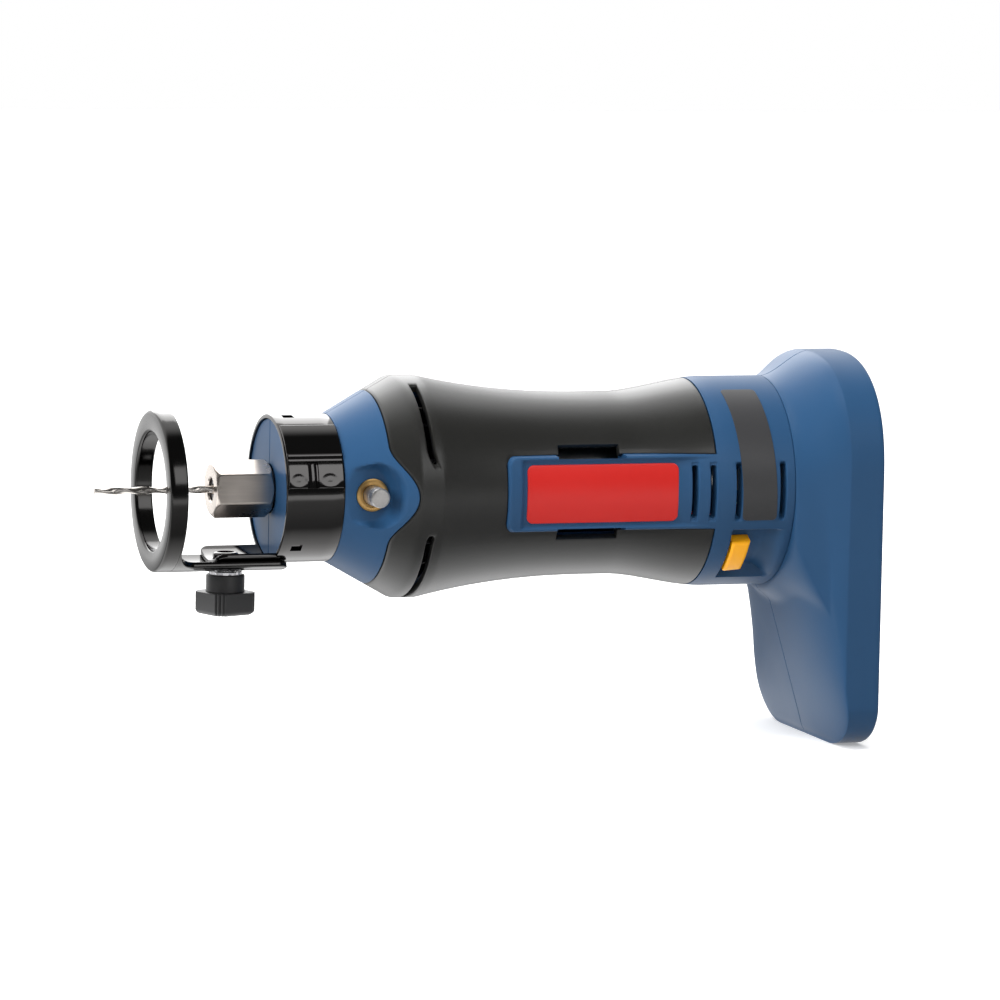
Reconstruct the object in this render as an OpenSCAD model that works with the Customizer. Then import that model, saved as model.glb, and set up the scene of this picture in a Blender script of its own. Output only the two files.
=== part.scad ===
// Cordless drywall cut-out tool, bare tool without its battery.
// X runs along the spindle from the nose face and the battery rim is the +X end.
// Y = 0 is the parting plane of the mouldings, and -Y is the near side with the lock pin and switch.
// Modules are drawn about the spindle axis; place() then stands the tool on its battery housing.

/* [Nose] */
// Diameter of the neck under the clamp collar
neck_d = 41.6; // [40:0.2:44]
// Length of the neck
neck_len = 17; // [16:0.5:20]
// Length of the cone behind the neck
cone_len = 20; // [18:0.5:23]

/* [Body] */
// Diameter of the swelling ahead of the grip
bulge_d = 66.6; // [64:0.2:72]
// Length of the swelling
bulge_len = 7; // [5:0.5:10]
// Diameter of the grip at its waist
waist_d = 55.2; // [54.4:0.2:60]
// Distance from the swelling back to the waist
waist_at = 52; // [46:1:58]
// Straight length at the waist
waist_flat = 8; // [4:1:12]
// Straight length of the rear barrel
rear_flat = 19; // [18:0.5:22]
// Diameter of the rear barrel
rear_d = 63.6; // [62:0.2:68]
// Length from the swelling to the battery housing
barrel_len = 111; // [109:1:120]
// Wall of the body mouldings
wall = 2.4; // [2:0.1:2.6]

/* [Grip] */
// Thickness of the rubber
grip_t = 2.2; // [1.6:0.1:2.4]
// Distance from the neck shoulder to the front edge of the rubber
grip_edge_at = 12.2; // [11:0.2:13]
// Distance from the rear edge of the rubber to the battery housing
grip_end_at = 25.5; // [23:0.5:27]
// Radius of the blue lobe that keeps the rubber off the lock pin
lobe_r = 12.2; // [11.5:0.1:13]

/* [Label panels] */
// Height of a label panel
panel_h = 22.6; // [20:0.2:26]
// Distance from the swelling to the front of a panel
panel_at = 21; // [18:0.5:24]
// Distance from the middle plane to the face of a panel
panel_y = 29.8; // [29.4:0.1:30.6]
// Crown radius of a panel
panel_crown = 45; // [40:1:60]
// Length of panel left behind a plate
plate_tail = 11; // [10:0.5:14]
// Height of a plate
plate_h = 17.4; // [14:0.2:18]
// Thickness of a plate
plate_t = 0.6; // [0.4:0.1:0.8]

/* [Vents] */
// Width of the exhaust slots around the swelling
exhaust_w = 2; // [1.4:0.1:2.6]
// Arc of each exhaust slot in degrees
exhaust_arc = 58; // [40:1:64]
// Distances of two intake slots ahead of the rear edge of the rubber
intake_front = [7.1, 1.6];
// Distances of two intake slots ahead of the battery housing
intake_rear = [19.1, 5.1];
// Width of an intake slot
intake_w = 1.9; // [1.4:0.1:2.4]
// Height of an intake slot
intake_h = 17; // [12:0.5:19]
// Length of the side windows beside a panel
window_l = 19; // [14:0.5:22]
// Height of a side window
window_h = 2.7; // [2:0.1:3.2]

/* [Battery housing] */
// Width across the battery rim
rim_w = 77; // [72:0.5:84]
// Height of the rim above the spindle axis
rim_top = 39.4; // [37:0.2:44]
// Drop of the rim below the spindle axis
rim_drop = 78.6; // [76:0.2:86]
// Length of the flare between the barrel and the rim band
flare_len = 15; // [14:0.5:18]
// Width of the rim band
band_len = 11; // [10:0.5:14]
// Wall of the battery housing
housing_wall = 2.6; // [2:0.1:3]
// Depth of the recess inside the rim
recess_depth = 4.6; // [4.4:0.1:5.4]
// Width of the stem socket
stem_w = 21; // [18:0.5:22]
// Height of the stem socket
stem_h = 31; // [26:0.5:32]
// Depth of the stem socket from the rim recess
stem_depth = 23.5; // [22:0.5:24]

/* [Spindle] */
// Outside diameter of the front bearing
front_od = 28; // [26:0.5:30]
// Bore of the front bearing
front_id = 12; // [11.5:0.5:12.5]
// Outside diameter of the rear bearing
rear_od = 26; // [24:0.5:27]
// Bore of the rear bearing
rear_id = 10; // [9:0.5:11]
// Width of both bearings
bearing_w = 8; // [7:0.5:8]
// Diameter of the bearing balls as a share of the space between bore and outside
ball_share = 0.2975; // [0.27:0.0025:0.3]
// Diameter of the lock boss on the spindle
lock_boss_d = 18; // [17:0.5:19]
// Diameter of the spindle thread
thread_d = 11; // [10.6:0.1:11.6]

/* [Collet] */
// Width across the flats of the collet nut
nut_af = 15; // [14.6:0.1:17]
// Length of the collet nut
nut_len = 17.5; // [17.2:0.1:18]
// Diameter of the hole in the front of the nut
nut_hole_d = 6.9; // [6.8:0.1:7.4]
// Thread pitch of the collet nut
nut_pitch = 1.25; // [1:0.05:1.5]

/* [Bit] */
// Diameter of the bit shank
shank_d = 3.175; // [3:0.025:3.2]
// Diameter over the flutes
flute_d = 2.6; // [2.2:0.1:3]
// Length of the bit ahead of the nose face
bit_reach = 53.4; // [50:0.2:60]
// Length of the plain guide point
point_len = 5; // [3:0.5:7]
// Lead of the flute spiral
flute_lead = 17; // [10:0.5:20]

/* [Depth guide] */
// Thickness of the collar band
collar_t = 1.2; // [1:0.1:1.6]
// Bore of the guide ring
ring_bore = 36; // [34:0.5:38]
// Thickness of the guide ring
ring_t = 4.8; // [4:0.2:6]
// Distance from the nose face to the front of the guide ring
ring_reach = 35.8; // [34.5:0.2:38]
// Thickness of the guide arm
arm_t = 1.9; // [1.4:0.1:2.4]
// Half angle of the guide arm
arm_half = 25; // [20:1:28]
// Length of the collar tongue ahead of the nose face
tongue_len = 18.4; // [17.5:0.2:20]
// Half angle of the collar tongue
tongue_half = 33; // [29:1:36]
// Distance from the nose face to the knob bolt
bolt_at = 13.1; // [12.6:0.1:13.6]
// Diameter of the knob bolt
bolt_d = 5; // [4:0.1:5.6]
// Forward travel of the guide
guide_out = 10; // [6:0.5:11]
// Rearward travel of the guide
guide_in = 9; // [6:0.5:9.5]
// Diameter of the knob hub
knob_hub_d = 11.6; // [10.6:0.2:13]
// Length of the knob hub
knob_hub_h = 5.6; // [4:0.2:8]
// Width of the square knob head
knob_w = 14.8; // [13:0.2:18]
// Height of the knob head
knob_h = 7.2; // [5:0.2:10]

/* [Spindle lock] */
// Distance from the nose face to the lock pin
lock_at = 25.2; // [24.8:0.1:25.6]
// Distance from the axis to the floor of the lock pocket
lock_floor = 22; // [21.6:0.1:22.4]
// Radius of the lock pocket
pocket_r = 10.6; // [9.5:0.1:11]
// Diameter of the lock pin
pin_d = 5.8; // [5.2:0.1:6.2]
// Distance from the axis to the outer end of the pin
pin_reach = 31; // [29:0.2:33]
// Travel of the lock pin
pin_travel = 4; // [3:0.2:4.2]

/* [Switch] */
// Angle of the switch below the middle of the near side
switch_angle = 41; // [38:1:43]
// Width of the switch button along the tool
button_w = 6; // [5:0.2:6.6]
// Length of the switch button around the barrel
button_l = 12.6; // [11:0.2:15]
// Travel of the switch button
switch_travel = 5; // [4:0.2:5.4]

/* [Motor] */
// Diameter of the motor can
motor_d = 36; // [34:0.2:36.4]
// Diameter of the motor shaft
shaft_d = 3.2; // [3:0.1:3.6]
// Diameter of the armature
core_d = 25.8; // [24.6:0.2:26]
// Diameter of the cooling fan
fan_d = 47; // [40:0.5:49]
// Blades on the fan
fan_blades = 11; // [7:1:15]

/* [Screws] */
// Diameter of a screw shank
screw_d = 3.2; // [2.8:0.1:3.4]
// Diameter of a screw head
screw_head_d = 6.2; // [5.4:0.1:6.4]

/* [Hidden] */
$fn = 72;
tiny = 0.01;
mould_gap = 0.05;
seat_gap = 0.02;
run_gap = 0.06;
slide_gap = 0.3;
far = 60;

neck_r = neck_d / 2;
collar_in = neck_r + mould_gap;
collar_r = collar_in + collar_t;
bulge_r = bulge_d / 2;
waist_r = waist_d / 2;
rear_r = rear_d / 2;
x_cone = neck_len;
x_edge = x_cone + grip_edge_at;
x_bulge = x_cone + cone_len;
x_grip = x_bulge + bulge_len;
x_waist = x_grip + waist_at;
x_swell = x_waist + waist_flat;
x_seam = x_grip + barrel_len;
x_full = x_seam - rear_flat;
swell_len = x_full - x_swell;
x_rear = x_seam - grip_end_at;
intake_x = [x_rear - intake_front[0], x_rear - intake_front[1], x_seam - intake_rear[0], x_seam - intake_rear[1]];
x_band = x_seam + flare_len;
x_rim = x_band + band_len;
skin = grip_t + mould_gap;

// Front end stations
nose_hole_r = front_id / 2 + 1.4;
front_x = 3;
front_end = front_x + bearing_w;
rear_end = x_bulge + 1;
rear_x = rear_end - bearing_w;
x_web = rear_end + 1.5;
x_cup = rear_x + 1.5;
cup_r = rear_od / 2 + 2.2;
lock_room_r = neck_r - wall;
lip = 1.5;

// Fan and motor stations
fan_x = x_web + 1;
fan_len = 7.5;
can_x = x_grip + 8;
can_end = can_x + 52;
cap_end = can_end + 3;
bush_out = 5;
shaft_end = can_end + 9;
motor_r = motor_d / 2;
can_wall = 1.4;
shaft_r = shaft_d / 2;

// Battery housing stations
arch_z = 4;
arch_power = 2.4;
foot_power = 4.5;
plate_back = x_rim - recess_depth;
plate_wall = 2.5;
socket_wall = 2.5;
socket_front = plate_back - stem_depth - socket_wall;
spigot_r = rear_r - housing_wall - 0.15;
x_spigot = x_seam + 3;

// Screws: two rows in the body halves and one pair in the battery housing
boss_r = 4.6;
seat_y = 9;
screw_depth = 9;
head_h = 2.4;
body_screws = [for (x = [can_x + 2, can_end + 13, x_seam - 7]) for (s = [1, -1]) [x, s * boss_z(x)]];
foot_screws = [[x_band - 1.6, 30 - arch_z + 2], [x_band - 0.6, -rim_drop + 23.5]];

// Depth guide stations
arm_in = collar_r + slide_gap;
arm_r = arm_in + arm_t;
ring_x = -ring_reach;
ring_r = arm_r + 0.15;
ring_back = ring_x + ring_t;
arm_end = 3.6;
washer_t = 0.8;
washer_z = arm_r + 0.15;
hub_z = washer_z + washer_t;
head_z = hub_z + knob_hub_h;
knob_end = head_z + knob_h;
bolt_top = collar_in - 1.4;

// Collet stations
nut_back = -0.5;
nut_front = nut_back - nut_len;
thread_front = -14.5;
thread_r = thread_d / 2;
bore_front_r = 4.05;
bore_back_r = 2.65;
bore_back = -2.5;
shank_r = shank_d / 2;
shank_end = 6;

// Lock stations
bush_in = lock_floor - 2.6;
clip_y = bush_in - 0.7;
clip_t = 0.6;
spring_end = 11.9;
nose_end = lock_boss_d / 2 + 1.1;
nose_r = 2.3;
pin_r = pin_d / 2;

// Switch stations
floor_r = rear_r - 4.2;
button_x = x_full + 0.6;
case_top = floor_r - 2.4;
case_h = 6.6;

function smooth(u) = u * u * (3 - 2 * u);
function rev(v) = [for (i = [len(v) - 1:-1:0]) v[i]];
function unit(v) = v / norm(v);

// Outside radius of the body at a distance x behind the nose face
function body_r(x) =
    x < x_cone ? neck_r :
    x < x_bulge ? collar_r + (bulge_r - collar_r) * (x - x_cone) / cone_len :
    x < x_grip ? bulge_r :
    x < x_waist ? waist_r + (bulge_r - waist_r) * pow((x_waist - x) / waist_at, 2.1) :
    x < x_swell ? waist_r :
    x < x_full ? waist_r + (rear_r - waist_r) * smooth((x - x_swell) / swell_len) : rear_r;

function inner_r(x) = body_r(x) - skin - wall;
function boss_z(x) = inner_r(x) - boss_r * 0.65;

key_x = concat(
    [x_bulge, x_grip],
    [for (i = [1:9]) x_grip + waist_at * i / 10],
    [x_waist, x_swell],
    [for (i = [1:7]) x_swell + swell_len * i / 8],
    [x_full]);

// Body outline from station a to station b, lowered by drop
function outline(a, b, drop) = concat(
    [[a, body_r(a) - drop]],
    [for (x = key_x) if (x > a + tiny && x < b - tiny) [x, body_r(x) - drop]],
    [[b, body_r(b - tiny / 10) - drop]]);

function band(a, b, top, bottom) = concat(outline(a, b, top), rev(outline(a, b, bottom)));

// Rim outline: half a superellipse above arch_z and a squarer one below it
function power(v, p) = v < 0 ? -pow(-v, p) : pow(v, p);
function rim_point(a, inset) = let (
        p = sin(a) > 0 ? arch_power : foot_power,
        h = (sin(a) > 0 ? rim_top - arch_z : rim_drop + arch_z) - inset)
    [(rim_w / 2 - inset) * power(cos(a), 2 / p), arch_z + h * power(sin(a), 2 / p)];
function rim_outline(inset) = [for (i = [0:59]) rim_point(i * 6, inset)];

// Turned solid about the spindle axis from [x, r] points
module turn(points, angle = 360) {
    rotate([0, 90, 0]) rotate_extrude(angle = angle) polygon([for (p = points) [p[1], p[0]]]);
}

module ring(x0, x1, r0, r1) {
    turn([[x0, r0], [x0, r1], [x1, r1], [x1, r0]]);
}

// Part of a ring, with its angles measured from the top towards the near side
module sector(x0, x1, r0, r1, a0, a1) {
    rotate([0, 90, 0]) rotate([0, 0, 180 + a0]) rotate_extrude(angle = a1 - a0)
        translate([r0, x0]) square([r1 - r0, x1 - x0]);
}

// Rod along +Y from y0 to y1
module rod(x, z, y0, y1, r) {
    translate([x, y0, z]) rotate([-90, 0, 0]) cylinder(h = y1 - y0, r = r);
}

// Upright rod
module post(x, z0, z1, r) {
    translate([x, 0, z0]) cylinder(h = z1 - z0, r = r);
}

module block(x0, x1, y0, y1, z0, z1) {
    translate([x0, y0, z0]) cube([x1 - x0, y1 - y0, z1 - z0]);
}

// Turns a +Y drawing into one on the near side
module near() {
    mirror([0, 1, 0]) children();
}

module at_switch() {
    rotate([-switch_angle, 0, 0]) children();
}

// Tube of radius r along a list of points
module tube(path, r, sides, ref) {
    n = len(path);
    rings = [for (i = [0:n - 1])
        let (t = unit(path[min(i + 1, n - 1)] - path[max(i - 1, 0)]),
             u = unit(cross(t, ref)),
             v = cross(t, u))
        for (j = [0:sides - 1]) path[i] + r * (cos(360 * j / sides) * u + sin(360 * j / sides) * v)];
    walls = [for (i = [0:n - 2]) for (j = [0:sides - 1])
        [i * sides + j, (i + 1) * sides + j, (i + 1) * sides + (j + 1) % sides, i * sides + (j + 1) % sides]];
    ends = [[for (j = [0:sides - 1]) j], [for (j = [sides - 1:-1:0]) (n - 1) * sides + j]];
    polyhedron(points = rings, faces = concat(walls, ends));
}

// Wire spring along +Y from y0 to y1
module spring(x, z, y0, y1, r, wire_r, turns) {
    steps = turns * 10;
    path = [for (i = [0:steps]) [
        x + r * cos(36 * i),
        y0 + wire_r + (y1 - y0 - 2 * wire_r) * i / steps,
        z + r * sin(36 * i)]];
    tube(path, wire_r, 6, [0, 1, 0]);
}

module place() {
    translate([(bit_reach - x_rim) / 2, 0, rim_drop]) children();
}

// Slots that pass through the rubber and the moulding
module exhaust_cuts() {
    for (a = [50, 143]) {
        rotate([0, 90, 0]) rotate([0, 0, 180 - a - exhaust_arc / 2])
            rotate_extrude(angle = exhaust_arc)
                translate([bulge_r - 9, x_bulge + bulge_len / 2 - exhaust_w / 2])
                    square([14, exhaust_w]);
    }
}

module window_cuts() {
    for (s = [1, -1]) {
        translate([x_grip + panel_at + 16, 16, s * (panel_h + window_h) / 2 - window_h / 2])
            cube([window_l, 20, window_h]);
    }
}

module panel_box(grow) {
    block(x_grip + panel_at - grow, x_rear + grow, 18, 40, -panel_h / 2 - grow, panel_h / 2 + grow);
}

module crown(r, x0, x1) {
    translate([x0, panel_y - panel_crown, 0]) rotate([0, 90, 0]) cylinder(h = x1 - x0, r = r, $fn = 180);
}

plate_x = x_grip + panel_at + 6;
plate_l = x_rear - plate_tail - plate_x;

// One body half on the +Y side; the near one carries the lock and the switch
module shell_half(is_near) {
    section = concat(
        [[0, nose_hole_r], [0, neck_r], [x_cone, neck_r]],
        outline(x_cone, x_edge, 0),
        outline(x_edge, x_rear, skin),
        outline(x_rear, x_seam, 0),
        [[x_seam, spigot_r], [x_spigot, spigot_r]],
        rev(outline(x_cup, x_spigot, skin + wall)),
        [[x_cup, cup_r], [x_web, cup_r], [x_web, rear_od / 2 - 2],
         [rear_end, rear_od / 2 - 2], [rear_end, rear_od / 2 + seat_gap],
         [rear_x, rear_od / 2 + seat_gap], [rear_x, rear_od / 2 - 2],
         [rear_x - lip, rear_od / 2 - 2], [rear_x - lip, lock_room_r],
         [front_end + lip, lock_room_r], [front_end + lip, front_od / 2 - 2],
         [front_end, front_od / 2 - 2], [front_end, front_od / 2 + seat_gap],
         [front_x, front_od / 2 + seat_gap], [front_x, nose_hole_r]]);
    difference() {
        union() {
            turn(section, 180);
            // Blue lobe in the front edge of the rubber
            intersection() {
                turn(band(x_edge, lock_at + lobe_r + 1, 0, skin + 1), 180);
                rod(lock_at, 0, 0, far, lobe_r);
            }
            // Label panel, with the barrel swelling out of its rear end
            intersection() {
                union() {
                    turn(band(x_grip + panel_at, x_rear + 1, 0, skin + 1), 180);
                    crown(panel_crown, x_grip + panel_at, x_rear);
                }
                panel_box(0);
            }
            // Ribs that carry the motor
            for (x = [can_x + 5, can_end - 6])
                turn([[x, motor_r + run_gap], [x, inner_r(x) + 1], [x + 2, inner_r(x + 2) + 1],
                      [x + 2, motor_r + run_gap]], 180);
            // Screw bosses, trimmed to the inside of the wall
            intersection() {
                union() {
                    for (p = body_screws) rod(p[0], p[1], 0, far, boss_r);
                }
                turn(concat([[x_cup, 0]], outline(x_cup, x_seam, skin + 1), [[x_seam, 0]]), 180);
            }
            if (is_near) {
                intersection() {
                    rod(lock_at, 0, spring_end - 1.3, lock_floor + 2, 5.8);
                    block(front_end + lip - 1, rear_x - 0.5, 0, far, -far, far);
                }
                at_switch() block(button_x - 3, x_seam, floor_r - 2.2, floor_r + 1, -12, 12);
            }
            // Lugs that stop the clamp collar turning
            for (a = is_near ? [17, 137] : [103])
                mirror([0, 1, 0]) sector(3.2, 5.4, neck_r - 1, neck_r + 0.9, a - 3.4, a + 3.4);
        }
        // Plate recess
        difference() {
            block(plate_x - mould_gap, plate_x + plate_l + mould_gap, 20, 40,
                  -plate_h / 2 - mould_gap, plate_h / 2 + mould_gap);
            crown(panel_crown - plate_t, plate_x - 1, plate_x + plate_l + 1);
        }
        for (x = intake_x)
            block(x - intake_w / 2, x + intake_w / 2, 20, 40, -intake_h / 2, intake_h / 2);
        exhaust_cuts();
        window_cuts();
        for (p = body_screws) {
            rod(p[0], p[1], -1, is_near ? screw_depth + 1 : seat_y + 1, screw_d / 2 + (is_near ? mould_gap : 0.2));
            if (!is_near) rod(p[0], p[1], seat_y, far, screw_head_d / 2 + 0.15);
        }
        if (is_near) {
            rod(lock_at, 0, lock_floor, far, pocket_r);
            rod(lock_at, 0, spring_end, far, 4.3);
            rod(lock_at, 0, 1, far, nose_r + 0.35);
            at_switch() {
                translate([0, 0, -10.4]) linear_extrude(20.8)
                    polygon([[button_x - 0.4, floor_r], [button_x + button_w + switch_travel + 0.4, floor_r],
                             [button_x + button_w + switch_travel + 5.4, rear_r + 1],
                             [button_x - 0.4, rear_r + 1]]);
                block(button_x + 0.7, button_x + button_w + switch_travel - 0.7, 5, far, -2.3, 2.3);
                block(button_x - 3.2, button_x + 13.2, case_top - case_h - 0.2, case_top + 0.1, -5.2, 5.2);
            }
        }
    }
}

module body_shell_left() {
    color([0.09, 0.32, 0.62]) near() shell_half(true);
}

module body_shell_right() {
    color([0.09, 0.32, 0.62]) shell_half(false);
}

// One rubber half on the +Y side
module grip_half(is_near) {
    difference() {
        turn(band(x_edge, x_rear, 0, grip_t), 180);
        rod(lock_at, 0, 0, far, lobe_r + mould_gap);
        panel_box(mould_gap);
        exhaust_cuts();
        window_cuts();
        if (!is_near)
            for (p = body_screws) rod(p[0], p[1], seat_y, far, screw_head_d / 2 + 0.15);
    }
}

module grip_left() {
    color([0.16, 0.16, 0.17]) near() grip_half(true);
}

module grip_right() {
    color([0.16, 0.16, 0.17]) grip_half(false);
}

module rim_slab(x0, x1, inset) {
    translate([x0, 0, 0]) rotate([90, 0, 90]) linear_extrude(x1 - x0) polygon(rim_outline(inset));
}

module housing_form(inset, extra) {
    hull() {
        translate([x_seam - extra, 0, 0]) rotate([0, 90, 0])
            cylinder(h = 0.6 + extra, r = rear_r - inset, $fn = 60);
        rim_slab(x_band + inset / 2, x_rim + extra, inset);
    }
}

// One battery housing half on the +Y side
module housing_half(is_near) {
    difference() {
        intersection() {
            union() {
                difference() {
                    housing_form(0, 0);
                    housing_form(housing_wall, 1);
                }
                for (p = foot_screws) rod(p[0], p[1], 0, far, boss_r);
            }
            housing_form(0, 0);
            block(x_seam - 1, x_rim + 1, 0, far, -far * 2, far);
        }
        for (p = foot_screws) {
            rod(p[0], p[1], -1, is_near ? screw_depth + 1 : seat_y + 1, screw_d / 2 + (is_near ? mould_gap : 0.2));
            if (!is_near) rod(p[0], p[1], seat_y, far, screw_head_d / 2 + 0.15);
        }
    }
}

module battery_housing_left() {
    color([0.09, 0.32, 0.62]) near() housing_half(true);
}

module battery_housing_right() {
    color([0.09, 0.32, 0.62]) housing_half(false);
}

// Socket moulding that takes the stem of the battery
module battery_socket() {
    ow = stem_w / 2 + socket_wall;
    oh = stem_h / 2 + socket_wall;
    color([0.12, 0.12, 0.13]) difference() {
        union() {
            rim_slab(plate_back - plate_wall, plate_back, housing_wall + 0.2);
            block(socket_front, plate_back - 1, -ow, ow, -oh, oh);
        }
        block(socket_front + socket_wall, x_rim, -stem_w / 2, stem_w / 2, -stem_h / 2, stem_h / 2);
        for (z = [10, 0, -10])
            block(socket_front - 1, x_rim, -0.5, 0.5, z - 3.2, z + 3.2);
    }
}

module battery_terminals() {
    color([0.80, 0.62, 0.30])
        for (z = [10, 0, -10])
            block(socket_front - 5, socket_front + socket_wall + 3.5, -0.4, 0.4, z - 3.1, z + 3.1);
}

module plate_form() {
    intersection() {
        block(plate_x, plate_x + plate_l, 20, 40, -plate_h / 2, plate_h / 2);
        difference() {
            crown(panel_crown - 0.1, plate_x - 1, plate_x + plate_l + 1);
            crown(panel_crown - plate_t + mould_gap, plate_x - 2, plate_x + plate_l + 2);
        }
    }
}

module name_plate() {
    color([0.75, 0.10, 0.11]) near() plate_form();
}

module far_plate() {
    color([0.75, 0.10, 0.11]) plate_form();
}

module label_patch() {
    color([0.10, 0.12, 0.20])
        sector(intake_x[2] + 1.7, intake_x[3] - 2, rear_r + seat_gap, rear_r + 0.18, 25, 106);
}

module screw(x, z) {
    difference() {
        union() {
            rod(x, z, -screw_depth, seat_y, screw_d / 2);
            rod(x, z, seat_y, seat_y + head_h, screw_head_d / 2);
        }
        for (a = [0, 45, 90, 135])
            translate([x, seat_y + head_h, z]) rotate([0, a, 0]) cube([screw_head_d * 0.56, 2.4, 0.9], center = true);
    }
}

module housing_screws() {
    color([0.30, 0.30, 0.31]) {
        for (p = body_screws) screw(p[0], p[1]);
        for (p = foot_screws) screw(p[0], p[1]);
    }
}

// Ball bearing pieces, each about its own middle plane at x
function ball(id, od) = (od - id) * ball_share;

module race_outer(x, id, od) {
    pitch = (id + od) / 4;
    difference() {
        ring(x, x + bearing_w, pitch + ball(id, od) * 0.27, od / 2);
        rotate([0, 90, 0]) translate([0, 0, x + bearing_w / 2]) rotate_extrude()
            translate([pitch, 0]) circle(r = ball(id, od) / 2 + run_gap, $fn = 48);
    }
}

module race_inner(x, id, od) {
    pitch = (id + od) / 4;
    difference() {
        ring(x, x + bearing_w, id / 2, pitch - ball(id, od) * 0.27);
        rotate([0, 90, 0]) translate([0, 0, x + bearing_w / 2]) rotate_extrude()
            translate([pitch, 0]) circle(r = ball(id, od) / 2 + run_gap, $fn = 48);
    }
}

module race_balls(x, id, od, count, grow) {
    pitch = (id + od) / 4;
    for (i = [0:count - 1])
        rotate([i * 360 / count, 0, 0]) translate([x + bearing_w / 2, 0, pitch])
            sphere(r = ball(id, od) / 2 + grow, $fn = 32);
}

module race_cage(x, id, od, count) {
    pitch = (id + od) / 4;
    difference() {
        ring(x + bearing_w / 2 - ball(id, od) * 0.64, x + bearing_w / 2 + ball(id, od) * 0.64,
             pitch - ball(id, od) * 0.147, pitch + ball(id, od) * 0.147);
        race_balls(x, id, od, count, run_gap);
    }
}

front_balls = 9;
rear_balls = 8;

module front_bearing_outer() {
    color([0.62, 0.63, 0.65]) race_outer(front_x, front_id, front_od);
}

module front_bearing_inner() {
    color([0.62, 0.63, 0.65]) race_inner(front_x, front_id, front_od);
}

module front_bearing_balls() {
    color([0.75, 0.76, 0.78]) race_balls(front_x, front_id, front_od, front_balls, 0);
}

module front_bearing_cage() {
    color([0.70, 0.58, 0.30]) race_cage(front_x, front_id, front_od, front_balls);
}

module rear_bearing_outer() {
    color([0.62, 0.63, 0.65]) race_outer(rear_x, rear_id, rear_od);
}

module rear_bearing_inner() {
    color([0.62, 0.63, 0.65]) race_inner(rear_x, rear_id, rear_od);
}

module rear_bearing_balls() {
    color([0.75, 0.76, 0.78]) race_balls(rear_x, rear_id, rear_od, rear_balls, 0);
}

module rear_bearing_cage() {
    color([0.70, 0.58, 0.30]) race_cage(rear_x, rear_id, rear_od, rear_balls);
}

// Spindle: collet taper in front, lock boss with two cross holes, bore for the motor shaft behind
module spindle() {
    fr = front_id / 2 - seat_gap;
    rr = rear_id / 2 - seat_gap;
    color([0.55, 0.56, 0.58]) difference() {
        turn([[thread_front, bore_front_r], [thread_front, thread_r - 0.3], [thread_front + 0.6, thread_r],
              [nut_back + 0.2, thread_r], [nut_back + 0.2, fr], [front_end, fr], [front_end, fr + 1.4], [front_end + 2, fr + 1.4],
              [front_end + 2, fr + 1], [lock_at - 4.6, fr + 1], [lock_at - 4.6, lock_boss_d / 2],
              [lock_at + 3.2, lock_boss_d / 2], [lock_at + 3.2, rr + 1.4], [rear_x, rr + 1.4], [rear_x, rr],
              [x_web + 0.3, rr], [x_web + 0.3, shaft_r + seat_gap], [rear_x - 0.4, shaft_r + seat_gap],
              [rear_x - 0.4, 0], [shank_end + 6, 0], [shank_end + 6, shank_r + 0.3],
              [bore_back, shank_r + 0.3], [bore_back, bore_back_r]]);
        rod(lock_at, 0, -far, far, nose_r + 0.25);
        post(lock_at, -far, far, nose_r + 0.25);
        ring(1.8, 2.9, fr - 0.6, fr + 1);
    }
}

module spindle_circlip() {
    fr = front_id / 2 - seat_gap;
    color([0.25, 0.25, 0.26]) difference() {
        ring(1.9, 2.8, fr - 0.55, fr + 0.9);
        block(0, 4, -1.6, 1.6, 0, fr + 3);
    }
}

module collet() {
    slope = (bore_back_r - bore_front_r) / (bore_back - thread_front);
    x1 = bore_back - 0.8;
    r1 = bore_front_r + slope * (x1 - thread_front) - 0.04;
    x0 = thread_front - 0.25;
    color([0.66, 0.67, 0.69]) difference() {
        turn([[x0 - 2.4, shank_r + seat_gap], [x0 - 2.4, nut_hole_d / 2 - 0.35], [x0 - 1.6, nut_hole_d / 2 - 0.3],
              [x0, nut_hole_d / 2 + 1.1], [x0, bore_front_r - 0.04 + slope * (x0 - thread_front)],
              [x1, r1], [x1, shank_r + seat_gap]]);
        for (a = [45, 135])
            rotate([a, 0, 0]) block(x0 - 4, bore_back - 2.6, -0.3, 0.3, -far, far);
    }
}

module collet_nut() {
    corner = nut_af / 2 / cos(30);
    x0 = thread_front - 0.25;
    color([0.72, 0.72, 0.71]) difference() {
        intersection() {
            translate([nut_front, 0, 0]) rotate([0, 90, 0]) cylinder(h = nut_len, r = corner, $fn = 6);
            turn([[nut_front, 0], [nut_front, corner - 1.8], [nut_front + 1.4, corner], [nut_back - 0.8, corner],
                  [nut_back, corner - 1.2], [nut_back, 0]]);
        }
        turn([[nut_front - 1, 0], [nut_front - 1, nut_hole_d / 2], [x0 - 1.5, nut_hole_d / 2],
              [x0 - 0.1, thread_r + run_gap], [nut_back + 1, thread_r + run_gap], [nut_back + 1, 0]]);
    }
}

// Two-flute spiral from x0 forward to x1: a pinched circle that turns once in each flute_lead
module spiral(x0, x1, r) {
    sides = 16;
    steps = 44;
    rings = [for (i = [0:steps]) let (x = x0 + (x1 - x0) * i / steps, w = 360 * (x0 - x) / flute_lead)
        for (j = [0:sides - 1]) let (a = 360 * j / sides, c = cos(a), q = r * (0.56 + 0.44 * c * c * (2 - c * c)))
            [x, q * cos(a + w), q * sin(a + w)]];
    walls = [for (i = [0:steps - 1]) for (j = [0:sides - 1])
        [i * sides + j, i * sides + (j + 1) % sides, (i + 1) * sides + (j + 1) % sides, (i + 1) * sides + j]];
    ends = [[for (j = [sides - 1:-1:0]) j], [for (j = [0:sides - 1]) steps * sides + j]];
    polyhedron(points = rings, faces = concat(walls, ends));
}

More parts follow.
